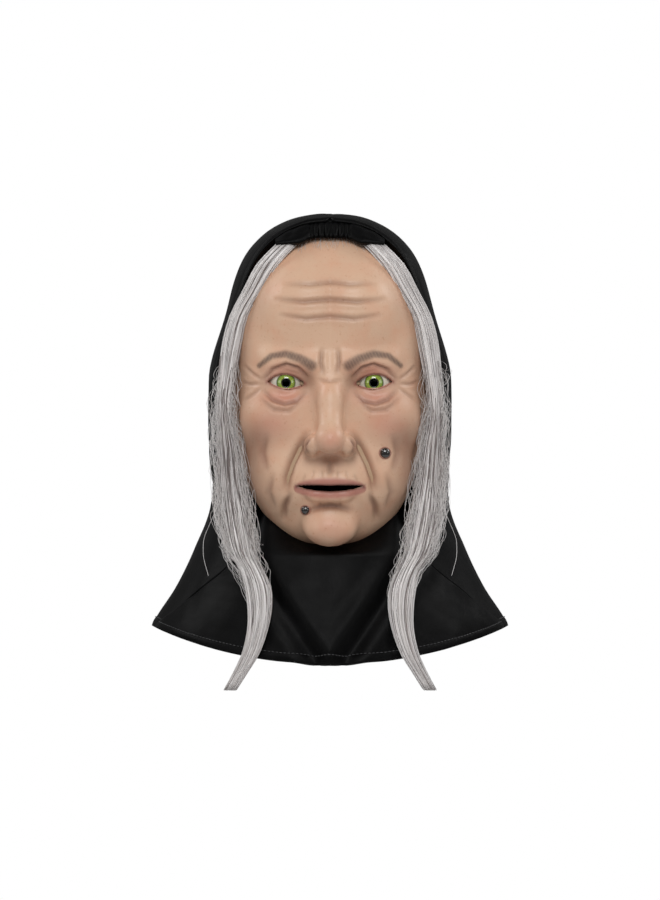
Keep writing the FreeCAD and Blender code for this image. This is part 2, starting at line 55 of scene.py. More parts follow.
# ---------------------------------------------------------------- mesh helpers
def make_object(name, points, faces, materials, smooth=True):
    """A mesh object from points in millimetres."""
    mesh = bpy.data.meshes.new(name)
    mesh.from_pydata((np.asarray(points, float) * MM).tolist(), [], [list(face) for face in faces])
    mesh.validate()
    obj = bpy.data.objects.new(name, mesh)
    bpy.context.scene.collection.objects.link(obj)
    for material in materials if isinstance(materials, (list, tuple)) else [materials]:
        mesh.materials.append(material)
    mesh.polygons.foreach_set("use_smooth", [smooth] * len(mesh.polygons))
    mesh.update()
    return obj


def grid_faces(rows, columns, around=False):
    """Quads of a grid of points stored row by row; around joins the last column to the first."""
    faces = []
    for row in range(rows - 1):
        for column in range(columns if around else columns - 1):
            after = (column + 1) % columns
            faces.append((row * columns + column, row * columns + after,
                          (row + 1) * columns + after, (row + 1) * columns + column))
    return faces


def grid_normals(grid):
    """Unit normals of a grid of points, from its two directions."""
    along = np.gradient(grid, axis=0)
    across = np.gradient(grid, axis=1)
    normals = np.cross(across, along)
    return normals / np.maximum(np.linalg.norm(normals, axis=2, keepdims=True), 1e-9)


def apply_modifiers(obj):
    """Bake every modifier into the mesh."""
    bpy.context.view_layer.update()
    evaluated = obj.evaluated_get(bpy.context.evaluated_depsgraph_get())
    mesh = bpy.data.meshes.new_from_object(evaluated)
    obj.modifiers.clear()
    obj.data = mesh
    return obj


def thicken(obj, thickness, offset=-1.0, smooth_levels=0):
    """Give a sheet its thickness, in millimetres, and round it off."""
    solid = obj.modifiers.new("thickness", "SOLIDIFY")
    solid.thickness = thickness * MM
    solid.offset = offset
    if smooth_levels:
        rounder = obj.modifiers.new("round", "SUBSURF")
        rounder.levels = smooth_levels
        rounder.render_levels = smooth_levels
    return apply_modifiers(obj)


def tube_sweep(path, radii, sides):
    """Points and faces of a closed tube along a path; radii is one value for each path point."""
    path = np.asarray(path, float)
    count = len(path)
    tangent = np.gradient(path, axis=0)
    tangent /= np.maximum(np.linalg.norm(tangent, axis=1, keepdims=True), 1e-9)
    reference = np.array((0.0, -1.0, 0.0))
    first = np.cross(tangent, reference)
    first /= np.maximum(np.linalg.norm(first, axis=1, keepdims=True), 1e-9)
    second = np.cross(tangent, first)
    angles = np.arange(sides) * 2 * math.pi / sides
    ring = (first[:, None, :] * np.cos(angles)[None, :, None]
            + second[:, None, :] * np.sin(angles)[None, :, None])
    points = path[:, None, :] + ring * np.asarray(radii, float).reshape(-1, 1, 1)
    faces = grid_faces(count, sides, around=True)
    faces.append(tuple(range(sides - 1, -1, -1)))
    faces.append(tuple(range((count - 1) * sides, count * sides)))
    return points.reshape(-1, 3), faces


def blob(centre, radii, rows=20, columns=32):
    """Points and faces of an ellipsoid."""
    points = []
    for row in range(rows + 1):
        polar = math.pi * row / rows
        for column in range(columns):
            turn = 2 * math.pi * column / columns
            points.append((centre[0] + radii[0] * math.sin(polar) * math.cos(turn),
                           centre[1] + radii[1] * math.sin(polar) * math.sin(turn),
                           centre[2] + radii[2] * math.cos(polar)))
    return np.array(points), grid_faces(rows + 1, columns, around=True)


def joined(name, parts, materials):
    """One object from several (points, faces) pairs, each with its own material index."""
    points, faces, slots = [], [], []
    start = 0
    for part_points, part_faces, slot in parts:
        points.append(np.asarray(part_points, float))
        faces += [tuple(index + start for index in face) for face in part_faces]
        slots += [slot] * len(part_faces)
        start += len(part_points)
    obj = make_object(name, np.concatenate(points), faces, materials)
    if len(slots) == len(obj.data.polygons):
        obj.data.polygons.foreach_set("material_index", slots)
    return obj


def wander(values, seed, scale):
    """Smooth made-up variation between -1 and 1 over points, from a few fixed waves."""
    values = np.asarray(values, float) / scale
    source = np.random.default_rng(seed)
    total = np.zeros(values.shape[:-1])
    for _ in range(5):
        direction = source.normal(size=3)
        direction /= np.linalg.norm(direction)
        phase = source.uniform(0, 2 * math.pi)
        speed = source.uniform(0.6, 1.7)
        bend = np.sin(values @ source.normal(size=3) + source.uniform(0, 6.0))
        total += np.sin(values @ direction * speed * 2 + phase + 1.3 * bend)
    return total / 5


# ---------------------------------------------------------------- materials
def new_material(name, color, roughness, **sockets):
    """A Principled material, with the constants set on its own sockets."""
    material = bpy.data.materials.new(name)
    material.use_nodes = True
    shader = material.node_tree.nodes["Principled BSDF"]
    shader.inputs["Base Color"].default_value = (*color, 1)
    shader.inputs["Roughness"].default_value = roughness
    for socket, value in sockets.items():
        shader.inputs[socket.replace("_", " ")].default_value = value
    return material


def node(material, kind, **settings):
    """A new node, with properties or unlinked inputs set by name."""
    made = material.node_tree.nodes.new(kind)
    for key, value in settings.items():
        if hasattr(made, key):
            setattr(made, key, value)
        else:
            made.inputs[key.replace("_", " ")].default_value = value
    return made


def link(material, source, target):
    """Join two sockets."""
    material.node_tree.links.new(source, target)


def shader_of(material):
    """The Principled node of a material."""
    return material.node_tree.nodes["Principled BSDF"]


def object_coordinates(material, scale=(1, 1, 1)):
    """Object coordinates through a mapping, as a socket."""
    place = node(material, "ShaderNodeTexCoord")
    mapping = node(material, "ShaderNodeMapping")
    mapping.inputs["Scale"].default_value = scale
    link(material, place.outputs["Object"], mapping.inputs["Vector"])
    return mapping.outputs["Vector"]


def noise(material, vector, scale, detail=3.0, roughness=0.55):
    """A noise texture's value socket."""
    made = node(material, "ShaderNodeTexNoise")
    made.inputs["Scale"].default_value = scale
    made.inputs["Detail"].default_value = detail
    made.inputs["Roughness"].default_value = roughness
    link(material, vector, made.inputs["Vector"])
    return made.outputs["Fac"]


def ramp(material, value, low, high, from_min=0.0, from_max=1.0):
    """A value mapped from one range to another."""
    made = node(material, "ShaderNodeMapRange")
    made.inputs["From Min"].default_value = from_min
    made.inputs["From Max"].default_value = from_max
    made.inputs["To Min"].default_value = low
    made.inputs["To Max"].default_value = high
    link(material, value, made.inputs["Value"])
    return made.outputs["Result"]


def mixed(material, factor, first, second, blend="MIX"):
    """A colour mix; first, second and factor may be sockets or constants."""
    made = node(material, "ShaderNodeMix", data_type="RGBA", blend_type=blend)
    for socket, value in ((made.inputs[0], factor), (made.inputs[6], first), (made.inputs[7], second)):
        if isinstance(value, bpy.types.NodeSocket):
            link(material, value, socket)
        elif isinstance(value, (int, float)):
            socket.default_value = value
        else:
            socket.default_value = (*value, 1)
    return made.outputs[2]


def add_bump(material, height, strength, distance, before=None):
    """A bump node on a height socket, chained after another one."""
    made = node(material, "ShaderNodeBump")
    made.inputs["Strength"].default_value = strength
    made.inputs["Distance"].default_value = distance
    link(material, height, made.inputs["Height"])
    if before is not None:
        link(material, before, made.inputs["Normal"])
    link(material, made.outputs["Normal"], shader_of(material).inputs["Normal"])
    return made.outputs["Normal"]


def attribute(material, name):
    """A colour or value stored on the mesh."""
    made = node(material, "ShaderNodeAttribute", attribute_name=name)
    return made


def latex_material():
    """Painted latex: airbrushed colour with painted shade from the mesh, mottling, pores and soft gloss."""
    material = new_material("latex_skin", (0.6, 0.37, 0.235), 0.42, Specular_IOR_Level=0.45)
    place = object_coordinates(material)
    paint = attribute(material, "paint").outputs["Color"]
    cloudy = ramp(material, noise(material, place, 55, 5, 0.6), 0.0, 0.55, 0.42, 0.75)
    flushed = mixed(material, cloudy, paint, mixed(material, 1.0, paint, (1.0, 0.78, 0.72), "MULTIPLY"))
    specks = ramp(material, noise(material, place, 420, 2, 0.5), 0.0, 0.35, 0.62, 0.74)
    spotted = mixed(material, specks, flushed, mixed(material, 1.0, paint, (0.72, 0.52, 0.42), "MULTIPLY"))
    link(material, spotted, shader_of(material).inputs["Base Color"])
    sheen = ramp(material, noise(material, place, 90, 4, 0.6), 0.34, 0.52)
    link(material, sheen, shader_of(material).inputs["Roughness"])
    pores = node(material, "ShaderNodeTexVoronoi")
    pores.inputs["Scale"].default_value = 900
    link(material, place, pores.inputs["Vector"])
    rough = add_bump(material, pores.outputs["Distance"], 0.16, 0.0004)
    add_bump(material, noise(material, place, 240, 4, 0.6), 0.22, 0.0007, rough)
    return material


def satin_material(name, lift=1.0):
    """Black satin: a fine twill, soft sheen and slight uneven wear; a lift below 1 darkens its colour as
    painted shade.
    """
    material = new_material(name, (0.003, 0.003, 0.003), 0.42, Sheen_Weight=0.0, Sheen_Roughness=0.4,
                            Specular_IOR_Level=0.09, Anisotropic=0.4)
    place = object_coordinates(material)
    cloud = ramp(material, noise(material, place, 22, 4, 0.55), 0.0, 1.0, 0.3, 0.7)
    dark = (0.0006 * lift, 0.0006 * lift, 0.0007 * lift)
    pale = (0.0026 * lift, 0.0026 * lift, 0.0028 * lift)
    link(material, mixed(material, cloud, dark, pale), shader_of(material).inputs["Base Color"])
    shine = ramp(material, noise(material, place, 70, 3, 0.5), 0.34, 0.5)
    link(material, shine, shader_of(material).inputs["Roughness"])
    twill = node(material, "ShaderNodeTexWave", wave_type="BANDS", bands_direction="DIAGONAL")
    twill.inputs["Scale"].default_value = 520
    twill.inputs["Distortion"].default_value = 1.2
    twill.inputs["Detail"].default_value = 1
    link(material, place, twill.inputs["Vector"])
    threads = add_bump(material, twill.outputs["Fac"], 0.25, 0.0003)
    add_bump(material, noise(material, place, 160, 3, 0.6), 0.25, 0.0006, threads)
    return material


def foam_material():
    """Charcoal open-cell foam."""
    material = new_material("foam", (0.05, 0.05, 0.055), 0.9)
    place = object_coordinates(material)
    cells = node(material, "ShaderNodeTexVoronoi")
    cells.inputs["Scale"].default_value = 700
    link(material, place, cells.inputs["Vector"])
    tone = ramp(material, cells.outputs["Distance"], 0.0, 1.0, 0.0, 0.6)
    link(material, mixed(material, tone, (0.02, 0.02, 0.022), (0.09, 0.09, 0.095)),
         shader_of(material).inputs["Base Color"])
    add_bump(material, cells.outputs["Distance"], 0.6, 0.0008)
    return material


def elastic_material():
    """Black ribbed elastic."""
    material = new_material("elastic", (0.02, 0.02, 0.02), 0.7, Sheen_Weight=0.3)
    place = object_coordinates(material)
    ribs = node(material, "ShaderNodeTexWave", wave_type="BANDS", bands_direction="Z")
    ribs.inputs["Scale"].default_value = 210
    link(material, place, ribs.inputs["Vector"])
    link(material, mixed(material, ribs.outputs["Fac"], (0.012, 0.012, 0.012), (0.045, 0.045, 0.045)),
         shader_of(material).inputs["Base Color"])
    add_bump(material, ribs.outputs["Fac"], 0.6, 0.0006)
    return material


def leather_material():
    """Dark reinforcing tab at the strap ends."""
    material = new_material("strap_tab", (0.06, 0.04, 0.03), 0.55)
    place = object_coordinates(material)
    grain = noise(material, place, 500, 5, 0.6)
    tone = ramp(material, grain, 0.0, 1.0, 0.35, 0.65)
    link(material, mixed(material, tone, (0.035, 0.024, 0.018), (0.09, 0.062, 0.045)),
         shader_of(material).inputs["Base Color"])
    add_bump(material, grain, 0.4, 0.0005)
    return material


def metal_material():
    """Brushed rivet steel."""
    material = new_material("rivet_metal", (0.6, 0.6, 0.6), 0.3, Metallic=1.0)
    place = object_coordinates(material, (1, 40, 40))
    scratches = noise(material, place, 60, 3, 0.6)
    link(material, ramp(material, scratches, 0.22, 0.45), shader_of(material).inputs["Roughness"])
    tone = ramp(material, scratches, 0.0, 1.0, 0.3, 0.7)
    link(material, mixed(material, tone, (0.48, 0.48, 0.5), (0.7, 0.7, 0.7)),
         shader_of(material).inputs["Base Color"])
    return material


latex = latex_material()
satin = satin_material("hood_satin")
# a darker copy of the satin: painted shade on the facing turned in behind the rolled edge
satin_painted_shade = satin_material("hood_satin_painted_shade", 0.6)
foam = foam_material()
elastic = elastic_material()
tab_leather = leather_material()
metal = metal_material()
mole_gloss = new_material("mole_resin", (0.012, 0.009, 0.008), 0.12, Coat_Weight=1.0, Coat_Roughness=0.05)
thread = new_material("hem_thread", (0.035, 0.035, 0.038), 0.5, Sheen_Weight=0.3)
HAIR_TINTS = (
    ("hair_white", (0.88, 0.85, 0.84)),
    ("hair_silver", (0.66, 0.62, 0.61)),
    ("hair_pearl", (0.78, 0.74, 0.72)),
    ("hair_shadow", (0.24, 0.20, 0.19)),
)
hair_materials = [new_material(name, tint, 0.28, Specular_IOR_Level=0.7, Sheen_Weight=0.15)
                  for name, tint in HAIR_TINTS]


# ---------------------------------------------------------------- latex face
VOXEL = 1.4
EYE = np.array((36.0, -69.3, 0.0))
EYE_RADIUS = 17.0
EYE_HALF_WIDTH = 15.0
LID_UPPER, LID_LOWER = 6.9, 4.9
FOLD_STRENGTH = 1.35
LID_THICKNESS = 2.3
LATEX = 2.4
MOUTH_HALF_WIDTH = 27.0
MOUTH_HEIGHT = -86.0

# folds of the face seen from the front: points of the line, depth and width
FOLDS = (
    (((-40, 55), (-20, 52), (0, 54), (20, 52), (40, 55)), 1.1, 2.6),
    (((-44, 68), (-22, 66), (0, 68), (22, 66), (44, 68)), 1.2, 2.8),
    (((-36, 81), (-16, 80), (0, 82), (16, 80), (36, 81)), 0.9, 2.6),
    (((6, 8), (7.5, 17), (6.5, 27)), 1.2, 2.2),
    (((19, 5), (26, 12), (36, 15), (47, 11), (54, 3)), 1.5, 1.9),
    (((21, -9), (28, -15), (37, -17.5), (47, -14), (54, -7)), 1.3, 2.2),
    (((24, -15), (34, -23), (46, -22), (56, -14)), 0.9, 2.4),
    (((57, 3), (64, 8), (70, 14)), 0.8, 1.7),
    (((58, -1), (66, -1), (72, 1)), 0.8, 1.7),
    (((57, -5), (64, -10), (70, -14)), 0.7, 1.7),
    (((19, -44), (25, -54), (31, -66), (35, -78), (36, -88)), 2.9, 4.0),
    (((33, -92), (37, -101), (38, -111)), 1.6, 3.0),
    (((-17, -105), (-8, -101.5), (0, -100.5), (8, -101.5), (17, -105)), 1.8, 3.2),
    (((0, -66), (0, -75)), 1.0, 2.6),
    (((52, -44), (55, -58), (52, -72)), 0.9, 3.2),
    (((47, -76), (50, -90), (46, -102)), 0.9, 3.0),
    (((17, -46), (20.5, -52), (17, -59)), 1.2, 1.6),
    (((6, -72), (7, -78)), 0.45, 1.2),
    (((13, -72), (15, -79)), 0.45, 1.2),
    (((20, -75), (22.5, -81)), 0.45, 1.2),
    (((8, -97), (9, -101)), 0.4, 1.2),
    (((-9, 2), (0, 0.5), (9, 2)), 0.7, 1.8),
)


def smooth_min(first, second, width):
    """The union of two distance fields with a fillet."""
    share = np.clip(0.5 + 0.5 * (second - first) / width, 0, 1)
    return second * (1 - share) + first * share - width * share * (1 - share)


def smooth_max(first, second, width):
    """The intersection of two distance fields with a fillet."""
    return -smooth_min(-first, -second, width)


def ball(field, centre, radii):
    """Distance to an ellipsoid, near enough."""
    x, y, z = field
    scaled = [(x - centre[0]) / radii[0], (y - centre[1]) / radii[1], (z - centre[2]) / radii[2]]
    near = np.sqrt(scaled[0] ** 2 + scaled[1] ** 2 + scaled[2] ** 2)
    slope = np.sqrt((scaled[0] / radii[0]) ** 2 + (scaled[1] / radii[1]) ** 2 + (scaled[2] / radii[2]) ** 2)
    return near * (near - 1) / np.maximum(slope, 1e-6)


def bar(field, start, end, start_radius, end_radius):
    """Distance to a tapered bar with round ends."""
    start = np.array(start, float)
    line = np.array(end, float) - start
    x, y, z = field
    share = ((x - start[0]) * line[0] + (y - start[1]) * line[1] + (z - start[2]) * line[2]) / line.dot(line)
    share = np.clip(share, 0, 1)
    away = np.sqrt((x - start[0] - share * line[0]) ** 2 + (y - start[1] - share * line[1]) ** 2
                   + (z - start[2] - share * line[2]) ** 2)
    return away - (start_radius + (end_radius - start_radius) * share)


def face_masses(field):
    """The outer skin of the face as a distance field, for the wearer's left half."""
    x, y, z = field
    skull = (np.abs(x / 86) ** 2.4 + np.abs(y / 97) ** 2.4 + np.abs((z - 8) / 124) ** 2.4) ** (1 / 2.4)
    skin = (skull - 1) * 88
    skin = smooth_min(skin, ball(field, (0, -44, -66), (65, 50, 72)), 20)
    skin = smooth_min(skin, ball(field, (20, -74, 60), (30, 23, 30)), 18)
    skin = smooth_min(skin, ball(field, (45, -66, -29), (25, 24, 21)), 16)
    skin = smooth_min(skin, ball(field, (38, -66, -76), (21, 23, 22)), 18)
    skin = smooth_min(skin, ball(field, (0, -77, -80), (33, 23, 24)), 15)
    skin = smooth_min(skin, ball(field, (0, -84, -119), (21, 17, 15)), 14)
    skin = smooth_min(skin, bar(field, (12, -92, 15), (48, -78, 19), 7.5, 6.5), 10)
    skin = smooth_max(skin, -ball(field, (36, -99, -1), (20, 15, 12.5)), 9)
    skin = smooth_min(skin, bar(field, (0, -88, 12), (0, -115, -44), 8.5, 9.5), 10)
    skin = smooth_min(skin, ball(field, (0, -104, -14), (7, 7.5, 11)), 8)
    skin = smooth_min(skin, ball(field, (0, -92, -38), (11, 18, 20)), 7)
    skin = smooth_min(skin, ball(field, (0, -117, -47), (11.5, 13, 11)), 6)
    skin = smooth_min(skin, ball(field, (13.5, -104, -51.5), (8.2, 13, 9)), 5)
    skin = smooth_max(skin, -ball(field, (7.6, -109, -60.5), (4.0, 7.5, 6.5)), 2.5)
    lids = np.maximum(ball(field, EYE, (EYE_RADIUS + LID_THICKNESS,) * 3), y + 70)
    skin = smooth_min(skin, lids, 5)
    skin = smooth_min(skin, bar(field, (0, -99.5, -80.5), (13, -97.5, -80.5), 4.2, 3.9), 3.5)
    skin = smooth_min(skin, bar(field, (13, -97.5, -80.5), (27, -88.5, -86), 3.9, 1.8), 3.5)
    skin = smooth_min(skin, bar(field, (0, -98.5, -92), (13, -96.5, -91.5), 5.0, 4.4), 3.5)
    skin = smooth_min(skin, bar(field, (13, -96.5, -91.5), (27, -88.5, -86.5), 4.4, 1.8), 3.5)
    return skin


def eye_gap(x, z):
    """Distance to the almond between the lids, seen from the front."""
    reach = np.clip((x - EYE[0]) / EYE_HALF_WIDTH, -1, 1)
    arch = 1 - reach * reach
    lean = 0.9 * reach
    upper = LID_UPPER * arch ** 0.8 + lean
    lower = -LID_LOWER * arch + lean
    return np.maximum(np.maximum(z - upper, lower - z), np.abs(x - EYE[0]) - EYE_HALF_WIDTH)


def mouth_gap(x, z):
    """Distance to the slot between the lips, seen from the front."""
    reach = np.clip(np.abs(x) / MOUTH_HALF_WIDTH, 0, 1)
    middle = MOUTH_HEIGHT + 1.3 * reach * reach - 0.6 * (1 - reach) ** 2
    half = 2.1 * (1 - reach ** 2.2)
    return np.maximum(np.abs(z - middle) - half, np.abs(x) - MOUTH_HALF_WIDTH)


def face_volume():
    """The hollow latex face as a field on a grid: (first point, skin field, shell field)."""
    low = np.array((0.0, -137.0, -142.0))
    count = np.ceil((np.array((94.0, 2.0, 127.0)) - low) / VOXEL).astype(int)
    axes = [low[axis] + VOXEL * np.arange(count[axis]) for axis in range(3)]
    field = np.meshgrid(*axes, indexing="ij")
    skin = face_masses(field)
    x, y, z = field
    shell = np.maximum(skin, -(skin + LATEX))
    shell = np.maximum(shell, EYE_RADIUS + 0.35 - ball(field, EYE, (1.0,) * 3) - 1)
    front = y + 68
    shell = smooth_max(shell, -np.maximum(eye_gap(x, z), front), 1.0)
    shell = np.minimum(shell, ball(field, (22.0, -80.0, -0.6), (3.2, 4.6, 2.8)))
    shell = smooth_max(shell, -np.maximum(mouth_gap(x, z), front), 1.2)
    shell = smooth_max(shell, y + 3, 1.0)
    shell = smooth_max(shell, z - 122, 1.0)
    shell = smooth_max(shell, -np.maximum(z + 115, -52 - y), 1.5)
    both = []
    for values in (skin, shell):
        both.append(np.concatenate([values[:0:-1], values], axis=0))
    low[0] = -axes[0][-1]
    return low, both[0], both[1]


def sample(low, values, points):
    """Trilinear reading of a grid field at points."""
    place = (points - low) / VOXEL
    limit = np.array(values.shape) - 2
    corner = np.clip(np.floor(place).astype(int), 0, limit)
    share = np.clip(place - corner, 0, 1)
    total = np.zeros(len(points))
    for bits in range(8):
        step = np.array(((bits >> 2) & 1, (bits >> 1) & 1, bits & 1))
        weight = np.prod(np.where(step, share, 1 - share), axis=1)
        index = corner + step
        total += weight * values[index[:, 0], index[:, 1], index[:, 2]]
    return total


def line_reach(points, line):
    """Distance from points, seen from the front, to a bent line, and the share along it."""
    line = np.array(line, float)
    best = np.full(len(points), 1e9)
    along = np.zeros(len(points))
    for index in range(len(line) - 1):
        start, step = line[index], line[index + 1] - line[index]
        share = np.clip(((points - start) @ step) / step.dot(step), 0, 1)
        away = np.linalg.norm(points - start - share[:, None] * step, axis=1)
        closer = away < best
        best = np.where(closer, away, best)
        along = np.where(closer, (index + share) / (len(line) - 1), along)
    return best, along


def round_spot(points, centre, radii):
    """A soft spot between 0 and 1 over points seen from the front."""
    away = ((points[:, 0] - centre[0]) / radii[0]) ** 2 + ((points[:, 1] - centre[1]) / radii[1]) ** 2
    return np.exp(-away)


def mesh_normals(obj):
    """Vertex normals of a mesh as an array."""
    normals = np.zeros(len(obj.data.vertices) * 3)
    obj.data.vertex_normals.foreach_get("vector", normals)
    return normals.reshape(-1, 3)


def set_colour(obj, name, colours):
    """Store a linear colour on every vertex."""
    layer = obj.data.color_attributes.new(name, "FLOAT_COLOR", "POINT")
    values = np.ones((len(colours), 4), np.float32)
    values[:, :3] = colours
    layer.data.foreach_set("color", values.reshape(-1))


def blended(base, tint, share):
    """Mix a colour into an array of colours."""
    share = np.clip(share, 0, 1)[:, None]
    return base * (1 - share) + np.array(tint) * share


def make_face():
    """The hollow face: a field turned into a mesh, folded and painted."""
    low, skin, shell = face_volume()
    grid = openvdb.FloatGrid(3.0)
    grid.copyFromArray(np.ascontiguousarray(shell, dtype=np.float32))
    points, quads = grid.convertToQuads(0.0)
    points = np.asarray(points, float) * VOXEL + low
    obj = make_object("face_latex", points, quads.tolist(), latex)
    points = np.zeros(len(obj.data.vertices) * 3)
    obj.data.vertices.foreach_get("co", points)
    points = points.reshape(-1, 3) / MM
    normals = mesh_normals(obj)
    outside = np.clip((sample(low, skin, points) + 1.5) / 1.0, 0, 1)
    facing = outside * np.clip(-normals[:, 1] * 1.6 + 0.2, 0, 1)
    front = np.stack([np.abs(points[:, 0]), points[:, 2]], axis=1)
    whole = np.stack([points[:, 0], points[:, 2]], axis=1)
    push = np.zeros(len(points))
    crease_shade = np.zeros(len(points))
    for line, depth, width in FOLDS:
        seen = whole if line[0][0] < 0 else front
        away, along = line_reach(seen, line)
        fade = np.clip(4.0 * along * (1 - along) + 0.12, 0, 1) ** 0.6
        valley = np.exp(-(away / (0.62 * width)) ** 2) * fade
        rim = np.exp(-((away - 1.5 * width) / (0.8 * width)) ** 2) * fade
        push += FOLD_STRENGTH * depth * (0.3 * rim - valley)
        # how much painted shade each fold lays along its line
        crease_shade += np.clip(depth / 1.4, 0.35, 1.1) * np.exp(-(away / (0.95 * width)) ** 2) * fade
    sag = 0.35 * wander(points, 3, 26.0) + 0.16 * wander(points, 5, 9.0)
    moved = points + normals * ((push + sag) * facing)[:, None]
    obj.data.vertices.foreach_set("co", (moved * MM).reshape(-1))
    obj.data.update()
    set_colour(obj, "paint", face_paint(points, front, crease_shade * facing, outside))
    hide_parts("face_shell")
    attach(obj, "mask")
    return obj, low, skin


def face_paint(points, front, crease_shade, outside):
    """Airbrushed colours: warm skin, flushed cheeks and nose, brows and lips, and painted shade in the
    folds, at the temples and jaw sides, and under the nose, lips and chin.
    """
    tan = np.array((0.70, 0.455, 0.31))
    paint = np.tile(tan, (len(points), 1))
    paint *= (1 + 0.05 * wander(points, 11, 24.0))[:, None]
    blush = (0.56, 0.20, 0.155)
    # the colour of the painted shade
    painted_shade = (0.175, 0.078, 0.052)
    for centre, radii, amount in (((47, -34), (17, 13), 0.42), ((0, -48), (11, 9), 0.38),
                                  ((0, -119), (17, 9), 0.30), ((36, 10), (17, 6), 0.42),
                                  ((37, -12), (17, 6), 0.50), ((36, -2), (21, 11), 0.22)):
        paint = blended(paint, blush, amount * round_spot(front, centre, radii))
    # painted shade: darker at the temples, jaw sides and cheek hollows, in the eye corners, beside the nose
    # and nostril, and under the nose, lower lip and chin
    for centre, radii, amount in (((78, 20), (11, 40), 0.55), ((66, -74), (15, 34), 0.50),
                                  ((60, -50), (10, 16), 0.35), ((19, 2), (6, 9), 0.50),
                                  ((52, 2), (6, 7), 0.30), ((0, -64), (13, 4), 0.60),
                                  ((0, -103), (15, 3.5), 0.45), ((24, -134), (30, 8), 0.45),
                                  ((20, -52), (4, 8), 0.45), ((13, -16), (4, 16), 0.18),
                                  ((70, 70), (16, 24), 0.28)):
        paint = blended(paint, painted_shade, amount * round_spot(front, centre, radii))
    # painted shade along the folds
    paint = blended(paint, painted_shade, 0.62 * crease_shade)
    lip_height = 8.5 * np.sqrt(np.clip(1 - (front[:, 0] / 30) ** 2, 0.0004, 1))
    lips = np.clip(1.15 - np.abs(front[:, 1] + 86.3) / lip_height, 0, 1)
    paint = blended(paint, (0.40, 0.135, 0.115), 0.75 * np.clip(lips * 3, 0, 1) * (front[:, 0] < 29))
    # painted shade along the slot between the lips
    line = np.exp(-(mouth_gap(points[:, 0], points[:, 2]) / 1.6) ** 2)
    paint = blended(paint, (0.07, 0.022, 0.02), 0.8 * line)
    rim = np.exp(-(np.clip(eye_gap(front[:, 0], points[:, 2]), 0, None) / 1.7) ** 2)
    paint = blended(paint, (0.22, 0.055, 0.045), 0.75 * rim * (points[:, 1] < -70))
    away, along = line_reach(front, ((15, 14), (24, 19.5), (36, 23.5), (48, 22), (58, 14)))
    strokes = 0.5 + 0.5 * np.sin(front[:, 0] * 2.3 + front[:, 1] * 1.1)
    width = 4.4 * (1 - 0.55 * along)
    brow = np.exp(-(away / width) ** 4) * (0.72 + 0.2 * strokes)
    paint = blended(paint, (0.05, 0.036, 0.032), 0.85 * brow)
    inner = (0.50, 0.35, 0.22)
    return blended(paint, inner, 1 - outside)


face, face_low, face_skin = make_face()


def skin_front(x, z):
    """The y of the outer skin at a place seen from the front."""
    depths = np.arange(-136.0, -20.0, 0.25)
    line = np.stack([np.full(len(depths), float(x)), depths, np.full(len(depths), float(z))], axis=1)
    inside = sample(face_low, face_skin, line) < 0
    return float(depths[np.argmax(inside)])


# ---------------------------------------------------------------- eyes and moles
def eye_colour(radius, turn):
    """Colour of the painted eye at a distance from its middle."""
    white = np.array((0.78, 0.74, 0.62))
    paint = np.tile(white, (len(radius), 1))
    veins = np.clip(np.sin(turn * 9 + np.sin(radius * 0.9) * 1.6) * 3 - 2.2, 0, 1)
    paint = blended(paint, (0.62, 0.16, 0.11), 0.45 * veins * np.clip((radius - 8.5) / 5, 0, 1))
    paint = blended(paint, (0.60, 0.25, 0.17), 0.5 * np.clip((radius - 11) / 5, 0, 1))
    streak = 0.5 + 0.5 * np.sin(turn * 31 + 2.0 * np.sin(turn * 7))
    iris = (np.array((0.23, 0.34, 0.045))[None, :] * (0.75 + 0.5 * streak)[:, None]
            + np.array((0.25, 0.20, 0.0))[None, :] * np.clip((5.6 - radius) / 3.0, 0, 1)[:, None])
    within = np.clip((7.5 - radius) / 0.5, 0, 1)[:, None]
    paint = paint * (1 - within) + iris * within
    paint = blended(paint, (0.03, 0.05, 0.012), 0.9 * np.exp(-((radius - 7.4) / 0.6) ** 2))
    paint = blended(paint, (0.008, 0.008, 0.006), np.clip((4.3 - radius) / 0.5, 0, 1))
    return paint


